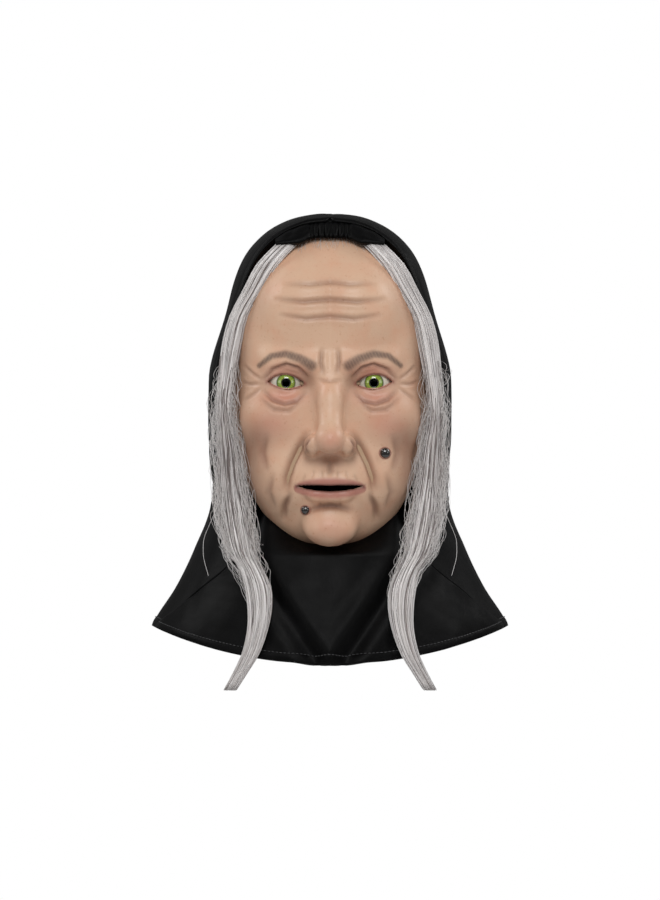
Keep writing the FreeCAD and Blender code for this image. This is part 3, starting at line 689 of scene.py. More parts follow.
def make_eyes():
    """Glossy painted domes with a round hole through the pupil and a raised cornea."""
    gloss = new_material("eye_gloss", (0.8, 0.8, 0.7), 0.09, Coat_Weight=1.0, Coat_Roughness=0.03)
    link(gloss, attribute(gloss, "paint").outputs["Color"], shader_of(gloss).inputs["Base Color"])
    wet = new_material("eye_wet_rim", (0.55, 0.22, 0.18), 0.08, Coat_Weight=1.0, Coat_Roughness=0.03)
    rings, around = 44, 96
    hole = 3.4
    for side, sign in SIDES:
        centre = EYE * np.array((sign, 1, 1))
        points, radii, turns = [], [], []
        widest = math.radians(72)
        for ring in range(rings):
            narrowest = math.asin(hole / EYE_RADIUS)
            polar = narrowest + (widest - narrowest) * ring / (rings - 1)
            radius = EYE_RADIUS * math.sin(polar)
            bulge = 0.75 * math.exp(-(radius / 7.2) ** 4)
            for step in range(around):
                turn = 2 * math.pi * step / around
                reach = EYE_RADIUS - 0.15 + bulge
                points.append(centre + np.array((reach * math.sin(polar) * math.cos(turn),
                                                 -reach * math.cos(polar),
                                                 reach * math.sin(polar) * math.sin(turn))))
                radii.append(radius)
                turns.append(turn)
        inner = [centre + (np.array(point) - centre) * ((EYE_RADIUS - 1.8) / EYE_RADIUS) for point in points]
        faces = grid_faces(rings, around, around=True)
        total = rings * around
        faces += [tuple(index + total for index in face[::-1]) for face in grid_faces(rings, around, True)]
        for step in range(around):
            after = (step + 1) % around
            faces.append((step, step + total, after + total, after))
            last = (rings - 1) * around
            faces.append((last + step, last + after, last + after + total, last + step + total))
        obj = make_object(f"{side}_glass_eye", points + inner, [face[::-1] for face in faces], gloss)
        paint = eye_colour(np.array(radii), np.array(turns))
        set_colour(obj, "paint", np.concatenate([paint, np.tile((0.25, 0.25, 0.22), (total, 1))]))
        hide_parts(f"{side}_eye")
        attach(obj, "mask")

        line = []
        for step in range(72):
            turn = 2 * math.pi * step / 72
            reach = math.cos(turn) * (EYE_HALF_WIDTH - 0.3)
            arch = max(1 - (reach / EYE_HALF_WIDTH) ** 2, 0)
            lean = 0.9 * reach / EYE_HALF_WIDTH
            height = (LID_UPPER * arch ** 0.8 if math.sin(turn) > 0 else -LID_LOWER * arch) + lean
            depth = math.sqrt(max((EYE_RADIUS + 0.4) ** 2 - reach ** 2 - height ** 2, 0))
            line.append((centre[0] + sign * reach, centre[1] - depth, centre[2] + height))
        line.append(line[0])
        rim_points, rim_faces = tube_sweep(line, [0.55] * len(line), 8)
        tear = (centre[0] - sign * 13.6, centre[1] - 11.0, centre[2] - 0.8)
        tear_points, tear_faces = blob(tear, (2.2, 1.5, 1.5), 10, 14)
        rim = joined(f"{side}_eye_rim", [(rim_points, rim_faces, 0), (tear_points, tear_faces, 0)], wet)
        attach(rim, "mask")


def make_moles():
    """Two glossy beads set in the latex, each with a puckered rim and a few short bristles."""
    for name, x, z, radius in (("cheek_mole", 45, -57.5, 4.3), ("chin_mole", -20, -104.1, 3.6)):
        y = skin_front(x, z)
        bead, bead_faces = blob((x, y - 0.3 * radius, z), (radius, radius * 0.72, radius), 16, 24)
        bead += 0.12 * wander(bead, 21, 2.0)[:, None]
        parts = [(bead, bead_faces, 0)]
        ring = [(x + 1.05 * radius * math.cos(turn), skin_front(x + 1.05 * radius * math.cos(turn),
                 z + 1.05 * radius * math.sin(turn)) - 0.1, z + 1.05 * radius * math.sin(turn))
                for turn in np.linspace(0, 2 * math.pi, 29)]
        parts.append((*tube_sweep(ring, [0.75] * len(ring), 8), 1))
        for lean in (-0.7, -0.1, 0.55):
            start = np.array((x + lean * radius * 0.5, y - radius * 0.9, z + 0.4 * radius))
            line = [start + np.array((lean * 2.4 * share, -3.4 * share, 3.0 * share - 2.4 * share * share))
                    for share in np.linspace(0, 1, 7)]
            parts.append((*tube_sweep(line, np.linspace(0.22, 0.08, 7), 5), 2))
        obj = joined(f"{name}_bead", parts, [mole_gloss, mole_rim, hair_materials[1]])
        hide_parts(name)
        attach(obj, "mask")


mole_rim = new_material("mole_rim", (0.36, 0.17, 0.12), 0.4)
make_eyes()
make_moles()


# ---------------------------------------------------------------- the hood's own surface
CLOTH = 0.9
HOOD_HALF_WIDTH, HOOD_HALF_DEPTH, HOOD_HEIGHT, HOOD_MIDDLE = 100.0, 116.0, 140.0, -4.0
OPENING_HALF_WIDTH, OPENING_HALF_HEIGHT, OPENING_MIDDLE = 92.0, 140.5, -10.0
NAPE = -98.0
BIB_TOP, BIB_TOP_HALF, BIB_SLOPE, BIB_BACK = -141.0, 70.5, 1.265, -8.0
VENT_HALF_WIDTH = 75.0
HEM_RADIUS, HEM_LOW = 382.0, -230.0
# height, half width, half depth and middle of the hood below the ears
HOOD_RINGS = np.array((
    (0.0, 100.0, 116.0, -4.0),
    (-20.0, 100.4, 111.0, -1.5),
    (-52.0, 99.8, 100.0, 3.5),
    (-98.0, 97.6, 86.0, 10.0),
    (-137.0, 111.5, 92.0, 12.0),
    (-170.0, 127.0, 100.0, 12.0),
    (-201.0, 146.0, 106.5, 11.5),
    (-236.0, 158.0, 112.0, 10.0),
))


def level(height):
    """Half width, half depth and middle of the hood at a height, smooth between the rings."""
    rows = HOOD_RINGS
    upper = 0
    while upper < len(rows) - 2 and height < rows[upper + 1][0]:
        upper += 1

    def slope(index):
        before, after = rows[max(index - 1, 0)], rows[min(index + 1, len(rows) - 1)]
        return (after[1:] - before[1:]) / (after[0] - before[0])

    start, end = rows[upper], rows[upper + 1]
    span = end[0] - start[0]
    share = (height - start[0]) / span
    rise = end[1:] - start[1:]
    first, last = slope(upper) * span, slope(upper + 1) * span
    return (start[1:] + rise * share
            + share * (1 - share) * ((first - rise) * (1 - share) - (last - rise) * share))


def skirt_point(angle, height):
    """A point below the ears; the angle runs from the front over the left side."""
    half_width, half_depth, middle = level(height)
    return np.array((half_width * math.sin(angle), middle - half_depth * math.cos(angle), height))


def dome_point(direction):
    """A point above the ears from a direction on the unit sphere: square crown, narrow temples."""
    power = 2 + 0.3 * direction[2]
    reach = sum(abs(part) ** power for part in direction) ** (-1 / power)
    pinch = 1 - 0.07 * math.sin(math.pi * min(direction[2] / 0.85, 1)) ** 2
    return np.array((direction[0] * reach * HOOD_HALF_WIDTH * pinch,
                     direction[1] * reach * HOOD_HALF_DEPTH + HOOD_MIDDLE,
                     direction[2] * reach * HOOD_HEIGHT))


def opening_direction(turn):
    """The direction to the front edge of the hood, turn radians from its top."""
    side = OPENING_HALF_WIDTH * math.sin(turn) / HOOD_HALF_WIDTH
    rise = (OPENING_MIDDLE + OPENING_HALF_HEIGHT * math.cos(turn)) / HOOD_HEIGHT
    return np.array((side, -math.sqrt(1 - side * side - rise * rise), rise))


def front_angle(height):
    """Where the front edge of the hood or wing stands."""
    half_width, half_depth, middle = level(height)
    if height > NAPE:
        rise = (height - OPENING_MIDDLE) / OPENING_HALF_HEIGHT
        reach = OPENING_HALF_WIDTH * math.sqrt(1 - rise * rise)
    else:
        reach = BIB_TOP_HALF + BIB_SLOPE * max(BIB_TOP - height, 0)
    side = math.acos((middle - BIB_BACK) / half_depth)
    return min(math.asin(min(reach / half_width, 1)), side)


def vent_angle(height, clearance):
    """Where the cape is open at the back."""
    return math.pi - math.asin((VENT_HALF_WIDTH + clearance) / level(height)[0])


def drop_to_hem(angle_at):
    """The height at which a line running down the cape meets the hem."""
    height = HEM_LOW
    for _ in range(12):
        sideways = skirt_point(angle_at(height), height)[0]
        height = HEM_LOW + HEM_RADIUS - math.sqrt(HEM_RADIUS ** 2 - sideways ** 2)
    return height


def panel_point(along, up):
    """Left side panel: along from the front edge to the back seam, up from the nape to the crown."""
    if up <= 0:
        height = -up * NAPE
        front = front_angle(height + 0.01)
        return skirt_point(front + (math.pi - front) * along, height)
    front = opening_direction(math.acos(-OPENING_MIDDLE / OPENING_HALF_HEIGHT) * (1 - up))
    arch = (math.pi - math.asin((OPENING_MIDDLE + OPENING_HALF_HEIGHT) / HOOD_HEIGHT)) * up
    back = np.array((0, math.cos(arch), math.sin(arch)))
    angle = math.acos(float(np.clip(front @ back, -1, 1)))
    if angle < 1e-4:
        return dome_point(front)
    return dome_point((front * math.sin((1 - along) * angle) + back * math.sin(along * angle))
                      / math.sin(angle))


def wing_point(along, down):
    """Left shoulder wing: along from the bib round to the vent, down from the nape to the hem."""
    def angle_at(height):
        front = front_angle(height) + 0.004
        return front + (vent_angle(height, 1.0) - front) * along

    top = NAPE - 0.4
    height = top + (drop_to_hem(angle_at) - top) * down
    return skirt_point(angle_at(height), height)


def bib_point(along, down):
    """Bib: along from -1 to 1 across the chest, down from the throat to the hem."""
    height = BIB_TOP + (drop_to_hem(lambda at: front_angle(at) * along) - BIB_TOP) * down
    return skirt_point(front_angle(height) * along, height)


def nape_point(along, down):
    """Nape curtain: along from -1 to 1 across the back, down from the nape to the hem."""
    def angle_at(height):
        return math.pi + (vent_angle(height, 0) - math.pi) * along

    top = NAPE - 0.6
    height = top + (drop_to_hem(angle_at) - top) * down
    return skirt_point(angle_at(height), height)


def surface_grid(surface, first, second):
    """A grid of points of a surface."""
    return np.array([[surface(one, two) for two in second] for one in first])


def outward(grid):
    """Grid normals that point away from the middle of the head."""
    normals = grid_normals(grid)
    away = grid * np.array((1.0, 1.0, 0.25))
    flip = np.sign(np.sum(normals * away, axis=2, keepdims=True))
    flip[flip == 0] = 1
    return normals * flip


def cloth_piece(name, grid, material, mirrored, thickness=CLOTH):
    """A sheet from a grid, with its thickness towards the head."""
    rows, columns = grid.shape[:2]
    if mirrored:
        grid = grid * np.array((-1.0, 1.0, 1.0))
    normals = grid_normals(grid)
    inward = float(np.sum(normals * grid * np.array((1.0, 1.0, 0.25)))) < 0
    faces = grid_faces(rows, columns)
    if not inward:
        faces = [face[::-1] for face in faces]
    obj = make_object(name, grid.reshape(-1, 3), faces, material)
    return thicken(obj, thickness)


def tucked_under(grid):
    """The cape cloth with its top edge turned up inside the hood, so that the seam stays closed."""
    inside = grid[:, :1, :] - 4.0 * outward(grid)[:, :1, :] + np.array((0.0, 0.0, 5.0))
    return np.concatenate([inside, grid], axis=1)


def turned_in(grid, reach=9.0, depth=3.5):
    """The wing with its back edge carried on inside the nape curtain, so that no light shows."""
    onward = grid[-1] - grid[-2]
    onward /= np.linalg.norm(onward, axis=1, keepdims=True)
    inward = outward(grid)[-1] * depth
    return np.concatenate([grid, (grid[-1] + 0.25 * reach * onward - inward)[None],
                           (grid[-1] + reach * onward - inward)[None]], axis=0)


def cape_folds(grid):
    """How far the cape cloth stands in or out: soft upright folds that deepen towards the hem."""
    x, y, z = grid[..., 0], grid[..., 1], grid[..., 2]
    angle = np.arctan2(np.abs(x), -(y - 10))
    depth = np.clip((NAPE - z) / 120, 0, 1.1)
    wave = (np.sin(angle * 9.0 + 0.8 * np.sin(angle * 3.1)) + 0.5 * np.sin(angle * 17.0 + 1.1)) * 1.9 * depth
    return wave + 0.7 * wander(grid, 31, 22.0) * (0.3 + depth)


def make_panels():
    """The two side panels of the hood, from the front edge back to the middle seam."""
    along = np.linspace(0, 0.999, 74)
    up = np.concatenate([np.linspace(-1, 0, 40), np.linspace(0.02, 0.985, 64)])
    for side, sign in SIDES:
        grid = surface_grid(panel_point, along, up)
        normals = outward(grid)
        z = grid[..., 2]
        waist = np.exp(-((z + 98) / 26) ** 2)
        behind = np.clip((grid[..., 1] + 10) / 60, 0, 1)
        angle = np.arctan2(grid[..., 0], -(grid[..., 1]))
        gather = waist * (0.9 * np.sin(angle * 26) + 0.8 * np.sin(angle * 43 + 1)) * (0.35 + behind)
        slack = 1.0 * wander(grid, 41 + sign, 30.0) + 0.5 * wander(grid, 43 + sign, 12.0)
        slack = slack * (0.4 + 0.6 * behind)
        pull = 1.1 * np.sin(z * 0.16 + 2.2 * np.sin(angle * 1.7) + sign)
        pull = pull * np.exp(-((z + 55) / 48) ** 2) * behind
        seam = -0.5 * np.exp(-(grid[..., 0] / 5.0) ** 2)
        tuck = -0.8 * np.exp(-((along[:, None] * 150 - 9.5) / 2.0) ** 2)
        grid = grid + normals * (gather + slack + pull + seam + tuck - 0.6)[..., None]
        obj = cloth_piece(f"hood_{side}_cloth", grid, satin, sign < 0)
        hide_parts(f"hood_{side}_panel")
        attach(obj, "mask")


def edge_path(low=-1.0, high=0.985, count=90):
    """Points along the front edge of the hood on the left side, from the jaw to the crown."""
    ups = np.linspace(low, high, count)
    edge = np.array([panel_point(0.0, up) for up in ups])
    return ups, edge


def make_edges():
    """The rolled front edge of the hood and the facing turned in behind it, one on each side; the facing
    takes a darker copy of the satin as painted shade.
    """
    ups, edge = edge_path()
    inner = np.array([panel_point(0.02, up) for up in ups])
    back = inner - edge
    back /= np.maximum(np.linalg.norm(back, axis=1, keepdims=True), 1e-9)
    tangent = np.gradient(edge, axis=0)
    tangent /= np.linalg.norm(tangent, axis=1, keepdims=True)
    out = np.cross(back, tangent)
    out *= np.sign(np.sum(out * edge, axis=1, keepdims=True))
    sides = 18
    for side, sign in SIDES:
        roll = []
        for index in range(len(edge)):
            wobble = 1 + 0.07 * math.sin(index * 0.55 + sign) + 0.05 * math.sin(index * 1.3)
            for step in range(sides):
                turn = 2 * math.pi * step / sides
                crimp = 1 + 0.05 * math.sin(3 * turn + index * 0.4)
                roll.append(edge[index] + back[index] * (2.6 + 4.6 * math.cos(turn)) * crimp
                            + out[index] * (0.2 + 2.5 * math.sin(turn)) * wobble)
        roll = np.array(roll)
        faces = grid_faces(len(edge), sides, around=True)
        faces.append(tuple(range(sides - 1, -1, -1)))
        faces.append(tuple(range((len(edge) - 1) * sides, len(edge) * sides)))
        strip = []
        middle = np.array((0.0, 0.0, OPENING_MIDDLE))
        for index in range(len(edge)):
            for share in np.linspace(0, 1, 7):
                inward = (middle - edge[index]) * np.array((1.0, 0.0, 1.0))
                inward /= np.linalg.norm(inward)
                strip.append(edge[index] + inward * 15.0 * share + np.array((0, 13.0 * share + 2, 0))
                             - out[index] * 1.5)
        strip = np.array(strip)
        flip = np.array((float(sign), 1.0, 1.0))
        parts = [(roll * flip, faces, 0), (strip * flip, grid_faces(len(edge), 7), 1)]
        obj = joined(f"hood_{side}_rolled_edge", parts, [satin, satin_painted_shade])
        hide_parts(f"hood_{side}_edge")
        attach(obj, "mask")


def make_seam():
    """The raised middle seam over the crown with a stitched line each side."""
    spine = []
    for up in np.linspace(-1, 0, 30):
        _, half_depth, middle = level(-up * NAPE)
        spine.append((0.0, middle + half_depth + 0.2, -up * NAPE))
    top = math.pi - math.asin((OPENING_MIDDLE + OPENING_HALF_HEIGHT) / HOOD_HEIGHT)
    for share in np.linspace(0.03, 1.0, 60):
        arch = top * share
        spine.append(tuple(dome_point((0.0, math.cos(arch), math.sin(arch)))))
    spine = np.array(spine)
    tangent = np.gradient(spine, axis=0)
    tangent /= np.linalg.norm(tangent, axis=1, keepdims=True)
    out = np.cross(tangent, np.array((1.0, 0, 0)))
    out *= np.sign(np.sum(out * spine, axis=1, keepdims=True))
    profile = ((-3.4, -1.6), (-2.6, -0.6), (-1.5, 0.2), (-0.4, 0.4), (0, 0.1), (0.4, 0.4), (1.5, 0.2),
               (2.6, -0.6), (3.4, -1.6), (1.2, -1.9), (-1.2, -1.9))
    points = [spine[index] + np.array((side, 0, 0)) + out[index] * lift
              for index in range(len(spine)) for side, lift in profile]
    faces = grid_faces(len(spine), len(profile), around=True)
    faces.append(tuple(range(len(profile) - 1, -1, -1)))
    faces.append(tuple(range((len(spine) - 1) * len(profile), len(spine) * len(profile))))
    parts = [(points, faces, 0)]
    for side in (-4.6, 4.6):
        line = spine + np.array((side, 0, 0)) + out * (-0.95)
        parts += [(stitch_points, stitch_faces, 1) for stitch_points, stitch_faces in stitches(line, out)]
    obj = joined("hood_crown_seam", parts, [satin, thread])
    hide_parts("hood_centre_seam")
    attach(obj, "mask")


def stitches(line, out, pitch=3.4, length=2.3, radius=0.3):
    """Short thread stitches laid along a line on the cloth."""
    line = np.asarray(line, float)
    out = np.asarray(out, float)
    steps = np.linalg.norm(np.diff(line, axis=0), axis=1)
    run = np.concatenate([[0], np.cumsum(steps)])
    made = []
    for start in np.arange(pitch, run[-1] - pitch, pitch):
        places = start + np.linspace(0, length, 4)
        path = np.stack([np.interp(places, run, line[:, axis]) for axis in range(3)], axis=1)
        lift = np.stack([np.interp(places, run, out[:, axis]) for axis in range(3)], axis=1)
        path += lift * (np.array((0.05, 0.35, 0.35, 0.05))[:, None])
        made.append(tube_sweep(path, (0.12, radius, radius, 0.12), 5))
    return made


make_panels()
make_edges()
make_seam()


# ---------------------------------------------------------------- cape
def hem_strip(grid, rows_up, lift=0.9):
    """A turned hem over the lowest rows of a cape grid, its outer face raised a little."""
    normals = outward(grid)
    lower = grid[:, -rows_up:, :] + normals[:, -rows_up:, :] * lift
    share = np.linspace(0, 1, rows_up)
    puff = 0.55 * np.sin(math.pi * np.clip(share, 0, 1)) - 0.5 * (share < 0.02)
    return lower + normals[:, -rows_up:, :] * puff[None, :, None]


def hem_parts(grid, rows_up, mirrored):
    """The hem as points and faces, and the stitched line above it."""
    normals = outward(grid)
    outer = hem_strip(grid, rows_up)
    inner = grid[:, -rows_up:, :] - normals[:, -rows_up:, :] * (CLOTH + 0.6)
    columns, rows = outer.shape[0], outer.shape[1]
    loop = np.concatenate([outer, inner[:, ::-1, :]], axis=1)
    flip = np.array((-1.0 if mirrored else 1.0, 1.0, 1.0))
    faces = grid_faces(columns, rows * 2, around=True)
    faces.append(tuple(range(rows * 2 - 1, -1, -1)))
    faces.append(tuple(range((columns - 1) * rows * 2, columns * rows * 2)))
    parts = [(loop.reshape(-1, 3) * flip, faces, 0)]
    line = outer[:, 1, :] + normals[:, -rows_up + 1, :] * 0.15
    for points, stitch_faces in stitches(line * flip, normals[:, -rows_up + 1, :] * flip):
        parts.append((points, stitch_faces, 1))
    return parts


def make_wings():
    """The shoulder wings of the cape, with their hems."""
    along, down = np.linspace(0, 1, 64), np.linspace(0, 1, 46)
    for side, sign in SIDES:
        grid = surface_grid(wing_point, along, down)
        fade = np.clip(down * 4, 0, 1)[None, :]
        grid = grid + outward(grid) * ((cape_folds(grid) - 0.6) * fade)[..., None]
        obj = cloth_piece(f"{side}_shoulder_cloth", turned_in(tucked_under(grid)), satin, sign < 0)
        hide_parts(f"{side}_wing")
        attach(obj, "mask")
        hem = joined(f"{side}_shoulder_hem", hem_parts(grid, 5, sign < 0), [satin, thread])
        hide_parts(f"{side}_wing_hem")
        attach(hem, "mask")


def bib_folds(grid):
    """Two drape folds that run from the jaw corners down to the middle of the hem."""
    x, z = grid[..., 0], grid[..., 2]
    corner = np.array((74.0, -128.0))
    foot = np.array((5.0, -232.0))
    line = foot - corner
    normal = np.array((line[1], -line[0])) / np.linalg.norm(line)
    away = (np.abs(x) - corner[0]) * normal[0] + (z - corner[1]) * normal[1]
    away = -away
    down = np.clip((corner[1] - z) / 104, 0, 1)
    valley = -5.2 * np.exp(-((away - 3) / 7.5) ** 2)
    ridge = 3.6 * np.exp(-((away + 11) / 9.0) ** 2)
    outer = 1.8 * np.exp(-((away + 34) / 11.0) ** 2) - 1.6 * np.exp(-((away + 49) / 9.0) ** 2)
    inner = 1.9 * np.exp(-((away - 16) / 8.0) ** 2)
    middle = 2.2 * np.exp(-(x / 7.0) ** 2) * np.clip((down - 0.55) * 3, 0, 1)
    slack = 0.75 * wander(grid, 51, 20.0) + 0.3 * wander(grid, 53, 8.0)
    return (valley + ridge + inner) * (0.45 + 0.55 * down) + outer * down + middle + slack


def make_bib():
    """The front of the cape, with two crossing drape folds and a stitched hem."""
    along, down = np.linspace(-1, 1, 131), np.linspace(0, 1, 62)
    grid = surface_grid(bib_point, along, down)
    normals = outward(grid)
    grid = grid + normals * (bib_folds(grid) - 0.6)[..., None]
    tucked = []
    aside = np.clip((np.abs(grid[:, :1, :1]) - 14) / 44, 0, 1)
    aside = aside * aside * (3 - 2 * aside)
    for lift, back in ((18.0, 44.0), (14.0, 33.0), (10.0, 22.0), (6.0, 12.0), (2.5, 4.0)):
        rise = lift * (1 + 1.4 * aside)
        sink = back * (1 - 0.3 * aside)
        row = grid[:, :1, :] + np.concatenate([0 * rise, sink, rise], axis=2)
        tucked.append(row * np.array((1 - lift * 0.0035, 1, 1)))
    grid = np.concatenate(tucked + [grid], axis=1)
    point = 1.6 * np.exp(-(grid[:, -1, 0] / 7.0) ** 2)
    grid[:, -1, 2] -= point
    grid[:, -2, 2] -= point * 0.6
    obj = cloth_piece("bib_cloth", grid, satin, False)
    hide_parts("throat_bib")
    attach(obj, "mask")
    hem = joined("bib_turned_hem", hem_parts(grid, 7, False), [satin, thread])
    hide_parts("bib_hem")
    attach(hem, "mask")


def make_nape():
    """The back curtain of the cape, with its hem."""
    along, down = np.linspace(-1, 1, 81), np.linspace(0, 1, 50)
    grid = surface_grid(nape_point, along, down)
    fade = np.clip(down * 5, 0, 1)[None, :]
    grid = grid + outward(grid) * ((cape_folds(grid) * 1.15 - 0.6) * fade)[..., None]
    cloth = cloth_piece("nape_curtain_cloth", tucked_under(grid), satin, False)
    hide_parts("nape_panel")
    hem = joined("nape_curtain_hem", hem_parts(grid, 5, False), [satin, thread])
    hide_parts("nape_hem")
    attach(hem, "nape_curtain")
    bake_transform(cloth)


make_wings()
make_bib()
make_nape()


# ---------------------------------------------------------------- brow facing
def facing_grid(turns, ups):
    """Points between the hood's front edge and the forehead; the sides hang lower than the middle."""
    grid = np.zeros((len(turns), len(ups), 3))
    for index, turn in enumerate(turns):
        side = min(max((abs(turn) - 0.13) / 0.16, 0), 1)
        side = side * side * (3 - 2 * side)
        top = dome_point(opening_direction(turn)) + np.array((0.0, 2.0, -2.2))
        low = np.array((top[0], -60.0 - 6.5 * side, 119.6 - 5.2 * side))
        grid[index] = low + (top - low) * ups[:, None]
    return grid


def make_brow_facing():
    """Two soft flaps across the top of the forehead and the gathered cloth between them."""
    forward = np.array((0.0, -math.sqrt(0.5), math.sqrt(0.5)))
    ups = np.linspace(0, 1, 30)
    round_off = np.sin(math.pi * np.clip(ups, 0, 1)) ** 0.6
    for side, sign in SIDES:
        turns = np.linspace(0.160, 0.478, 60)
        grid = facing_grid(turns, ups)
        across = np.linspace(0, 1, 60)[:, None]
        folds = (0.8 * np.sin(9 * ups[None, :] + 3.0 * across) * (1 - 0.5 * across)
                 + 0.5 * np.sin(16 * across + 4 * ups[None, :]))
        ends = np.clip(across * 9, 0, 1) * (1 - across ** 3)
        puff = (3.3 * ends + 0.4 + 0.55 * folds) * round_off[None, :]
        grid = grid + forward * (puff + 0.35 * wander(grid, 61 + sign, 6.0))[..., None]
        grid[:, 0, 1] += 2.2
        obj = cloth_piece(f"{side}_brow_flap_cloth", grid, satin, sign < 0, 1.3)
        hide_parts(f"{side}_brow_flap")
        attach(obj, "mask")
    turns = np.linspace(-0.186, 0.186, 150)
    grid = facing_grid(turns, ups)
    pleat = np.sin(turns * 150 + 1.2 * np.sin(turns * 41))[:, None]
    shape = (2.6 * round_off + 0.3)[None, :] * (1 - 0.3 * (turns[:, None] / 0.186) ** 2)
    depth = 1.0 * (0.35 + 0.65 * (1 - ups))[None, :]
    grid = grid + forward * (shape + depth * pleat)[..., None]
    grid[:, 0, 2] -= 0.8 * (1 + pleat[:, 0])
    obj = cloth_piece("brow_gather_cloth", grid, satin, False, 1.1)
    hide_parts("brow_gather")
    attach(obj, "mask")


make_brow_facing()


# ---------------------------------------------------------------- hair
# sideways, forward, height, half width and half depth of a lock, from its root to its tip
LOCK = np.array((
    (35.0, -61.0, 115.0, 8.6, 4.2),
    (51.5, -64.5, 97.5, 9.0, 4.5),
    (63.5, -63.5, 76.0, 8.3, 4.8),
    (75.0, -62.0, 55.0, 7.4, 5.0),
    (80.5, -60.5, 33.0, 7.8, 5.0),
    (84.0, -60.0, 10.0, 6.8, 5.0),
    (86.5, -60.0, -12.0, 5.6, 5.0),
    (86.5, -60.0, -30.0, 5.8, 5.0),
    (84.0, -60.0, -54.0, 8.6, 5.2),
    (82.0, -61.0, -80.0, 10.6, 5.4),
    (79.0, -66.0, -104.0, 12.0, 5.4),
    (75.5, -74.0, -124.0, 12.0, 5.2),
    (71.5, -80.0, -140.0, 10.6, 5.0),
    (64.5, -84.5, -153.0, 9.6, 4.6),
    (59.5, -88.5, -167.0, 10.6, 4.4),
    (57.8, -92.5, -184.0, 9.9, 4.2),
    (59.5, -96.5, -202.0, 8.3, 3.9),
    (65.0, -100.0, -221.0, 6.9, 3.6),
    (73.5, -102.0, -237.0, 5.6, 3.2),
    (82.0, -102.5, -251.5, 5.0, 2.8),
))


def lock_at(shares):
    """Path, half width and half depth of the lock at shares of its length."""
    place = np.clip(np.asarray(shares, float), 0, 1) * (len(LOCK) - 1)
    index = np.clip(place.astype(int), 0, len(LOCK) - 2)
    share = (place - index)[..., None]
    before = LOCK[np.maximum(index - 1, 0)]
    start, end = LOCK[index], LOCK[index + 1]
    after = LOCK[np.minimum(index + 2, len(LOCK) - 1)]
    first, last = (end - before) / 2, (after - start) / 2
    rise = end - start
    values = (start + rise * share
              + share * (1 - share) * ((first - rise) * (1 - share) - (last - rise) * share))
    return values[..., :3], values[..., 3], values[..., 4]


def strand_mesh(paths, radii, sides=3):
    """Many thin closed tubes at once: paths is strands by points by 3, radii strands by points."""
    strands, count = paths.shape[:2]
    angles = np.arange(sides) * 2 * math.pi / sides + 0.5
    ring = np.stack([np.cos(angles), np.sin(angles), np.zeros(sides)], axis=1)
    points = paths[:, :, None, :] + radii[:, :, None, None] * ring[None, None, :, :]
    faces = []
    base = np.array(grid_faces(count, sides, around=True))
    caps = [tuple(range(sides - 1, -1, -1)), tuple(range((count - 1) * sides, count * sides))]
    for strand in range(strands):
        start = strand * count * sides
        faces += (base + start).tolist()
        faces += [[index + start for index in cap] for cap in caps]
    return points.reshape(-1, 3), faces


def bundle(count, steps, spread, radius, seed, wave, first=0.0, last=1.0, stagger=0.012):
    """Straight strands that fill the lock: spread is how far out of its section they reach."""
    source = np.random.default_rng(seed)
    shares = np.linspace(0, 1, steps)[None, :]
    begin = first + source.uniform(0, stagger, (count, 1))
    end = last - source.uniform(0, stagger, (count, 1))
    path, width, depth = lock_at(begin + (end - begin) * shares)
    turn = source.uniform(0, 2 * math.pi, (count, 1))
    reach = np.sqrt(source.uniform(0.3, 1.0, (count, 1))) * spread
    drift = source.normal(0, 0.35, (count, 1)) * (shares - 0.4)
    sway = wave * np.sin(shares * source.uniform(5, 15, (count, 1)) + source.uniform(0, 6, (count, 1)))
    across = reach * np.cos(turn + drift) * width + sway
    through = reach * np.sin(turn + drift) * depth + 0.4 * sway
    path = path.copy()
    path[..., 0] += across
    path[..., 1] -= through
    thin = radius * (1 - 0.45 * shares ** 6) * source.uniform(0.7, 1.25, (count, 1))
    return path, np.broadcast_to(thin, path.shape[:2]).copy()


def frizz(count, steps, seed, low, high, outer):
    """Fine loose stray strands beside the lock, between two shares of its length."""
    source = np.random.default_rng(seed)
    shares = np.linspace(0, 1, steps)[None, :]
    begin = source.uniform(low, high - 0.1, (count, 1))
    end = begin + source.uniform(0.04, 0.2, (count, 1))
    path, width, depth = lock_at(np.clip(begin + (end - begin) * shares, 0, 0.93))
    side = np.where(source.uniform(0, 1, (count, 1)) < outer, 1.0, -1.0)
    bow = np.sin(math.pi * shares ** source.uniform(0.6, 1.6, (count, 1)))
    bow = bow * source.uniform(0.5, 8.5, (count, 1)) * side
    curl = source.uniform(0.4, 2.4, (count, 1)) * np.sin(math.pi * shares) ** 0.5
    speed = source.uniform(5, 17, (count, 1))
    phase = source.uniform(0, 6.3, (count, 1))
    bend = shares * speed + phase + 1.4 * np.sin(shares * source.uniform(3, 9, (count, 1)) + 2 * phase)
    path = path.copy()
    path[..., 0] += side * width * source.uniform(0.55, 0.95, (count, 1)) + bow + curl * np.sin(bend)
    path[..., 1] += -depth * source.uniform(0.1, 1.1, (count, 1)) + 0.8 * curl * np.cos(bend)
    path[..., 2] += 1.2 * curl * np.cos(0.83 * bend + 1)
    return path, np.full(path.shape[:2], 0.17)


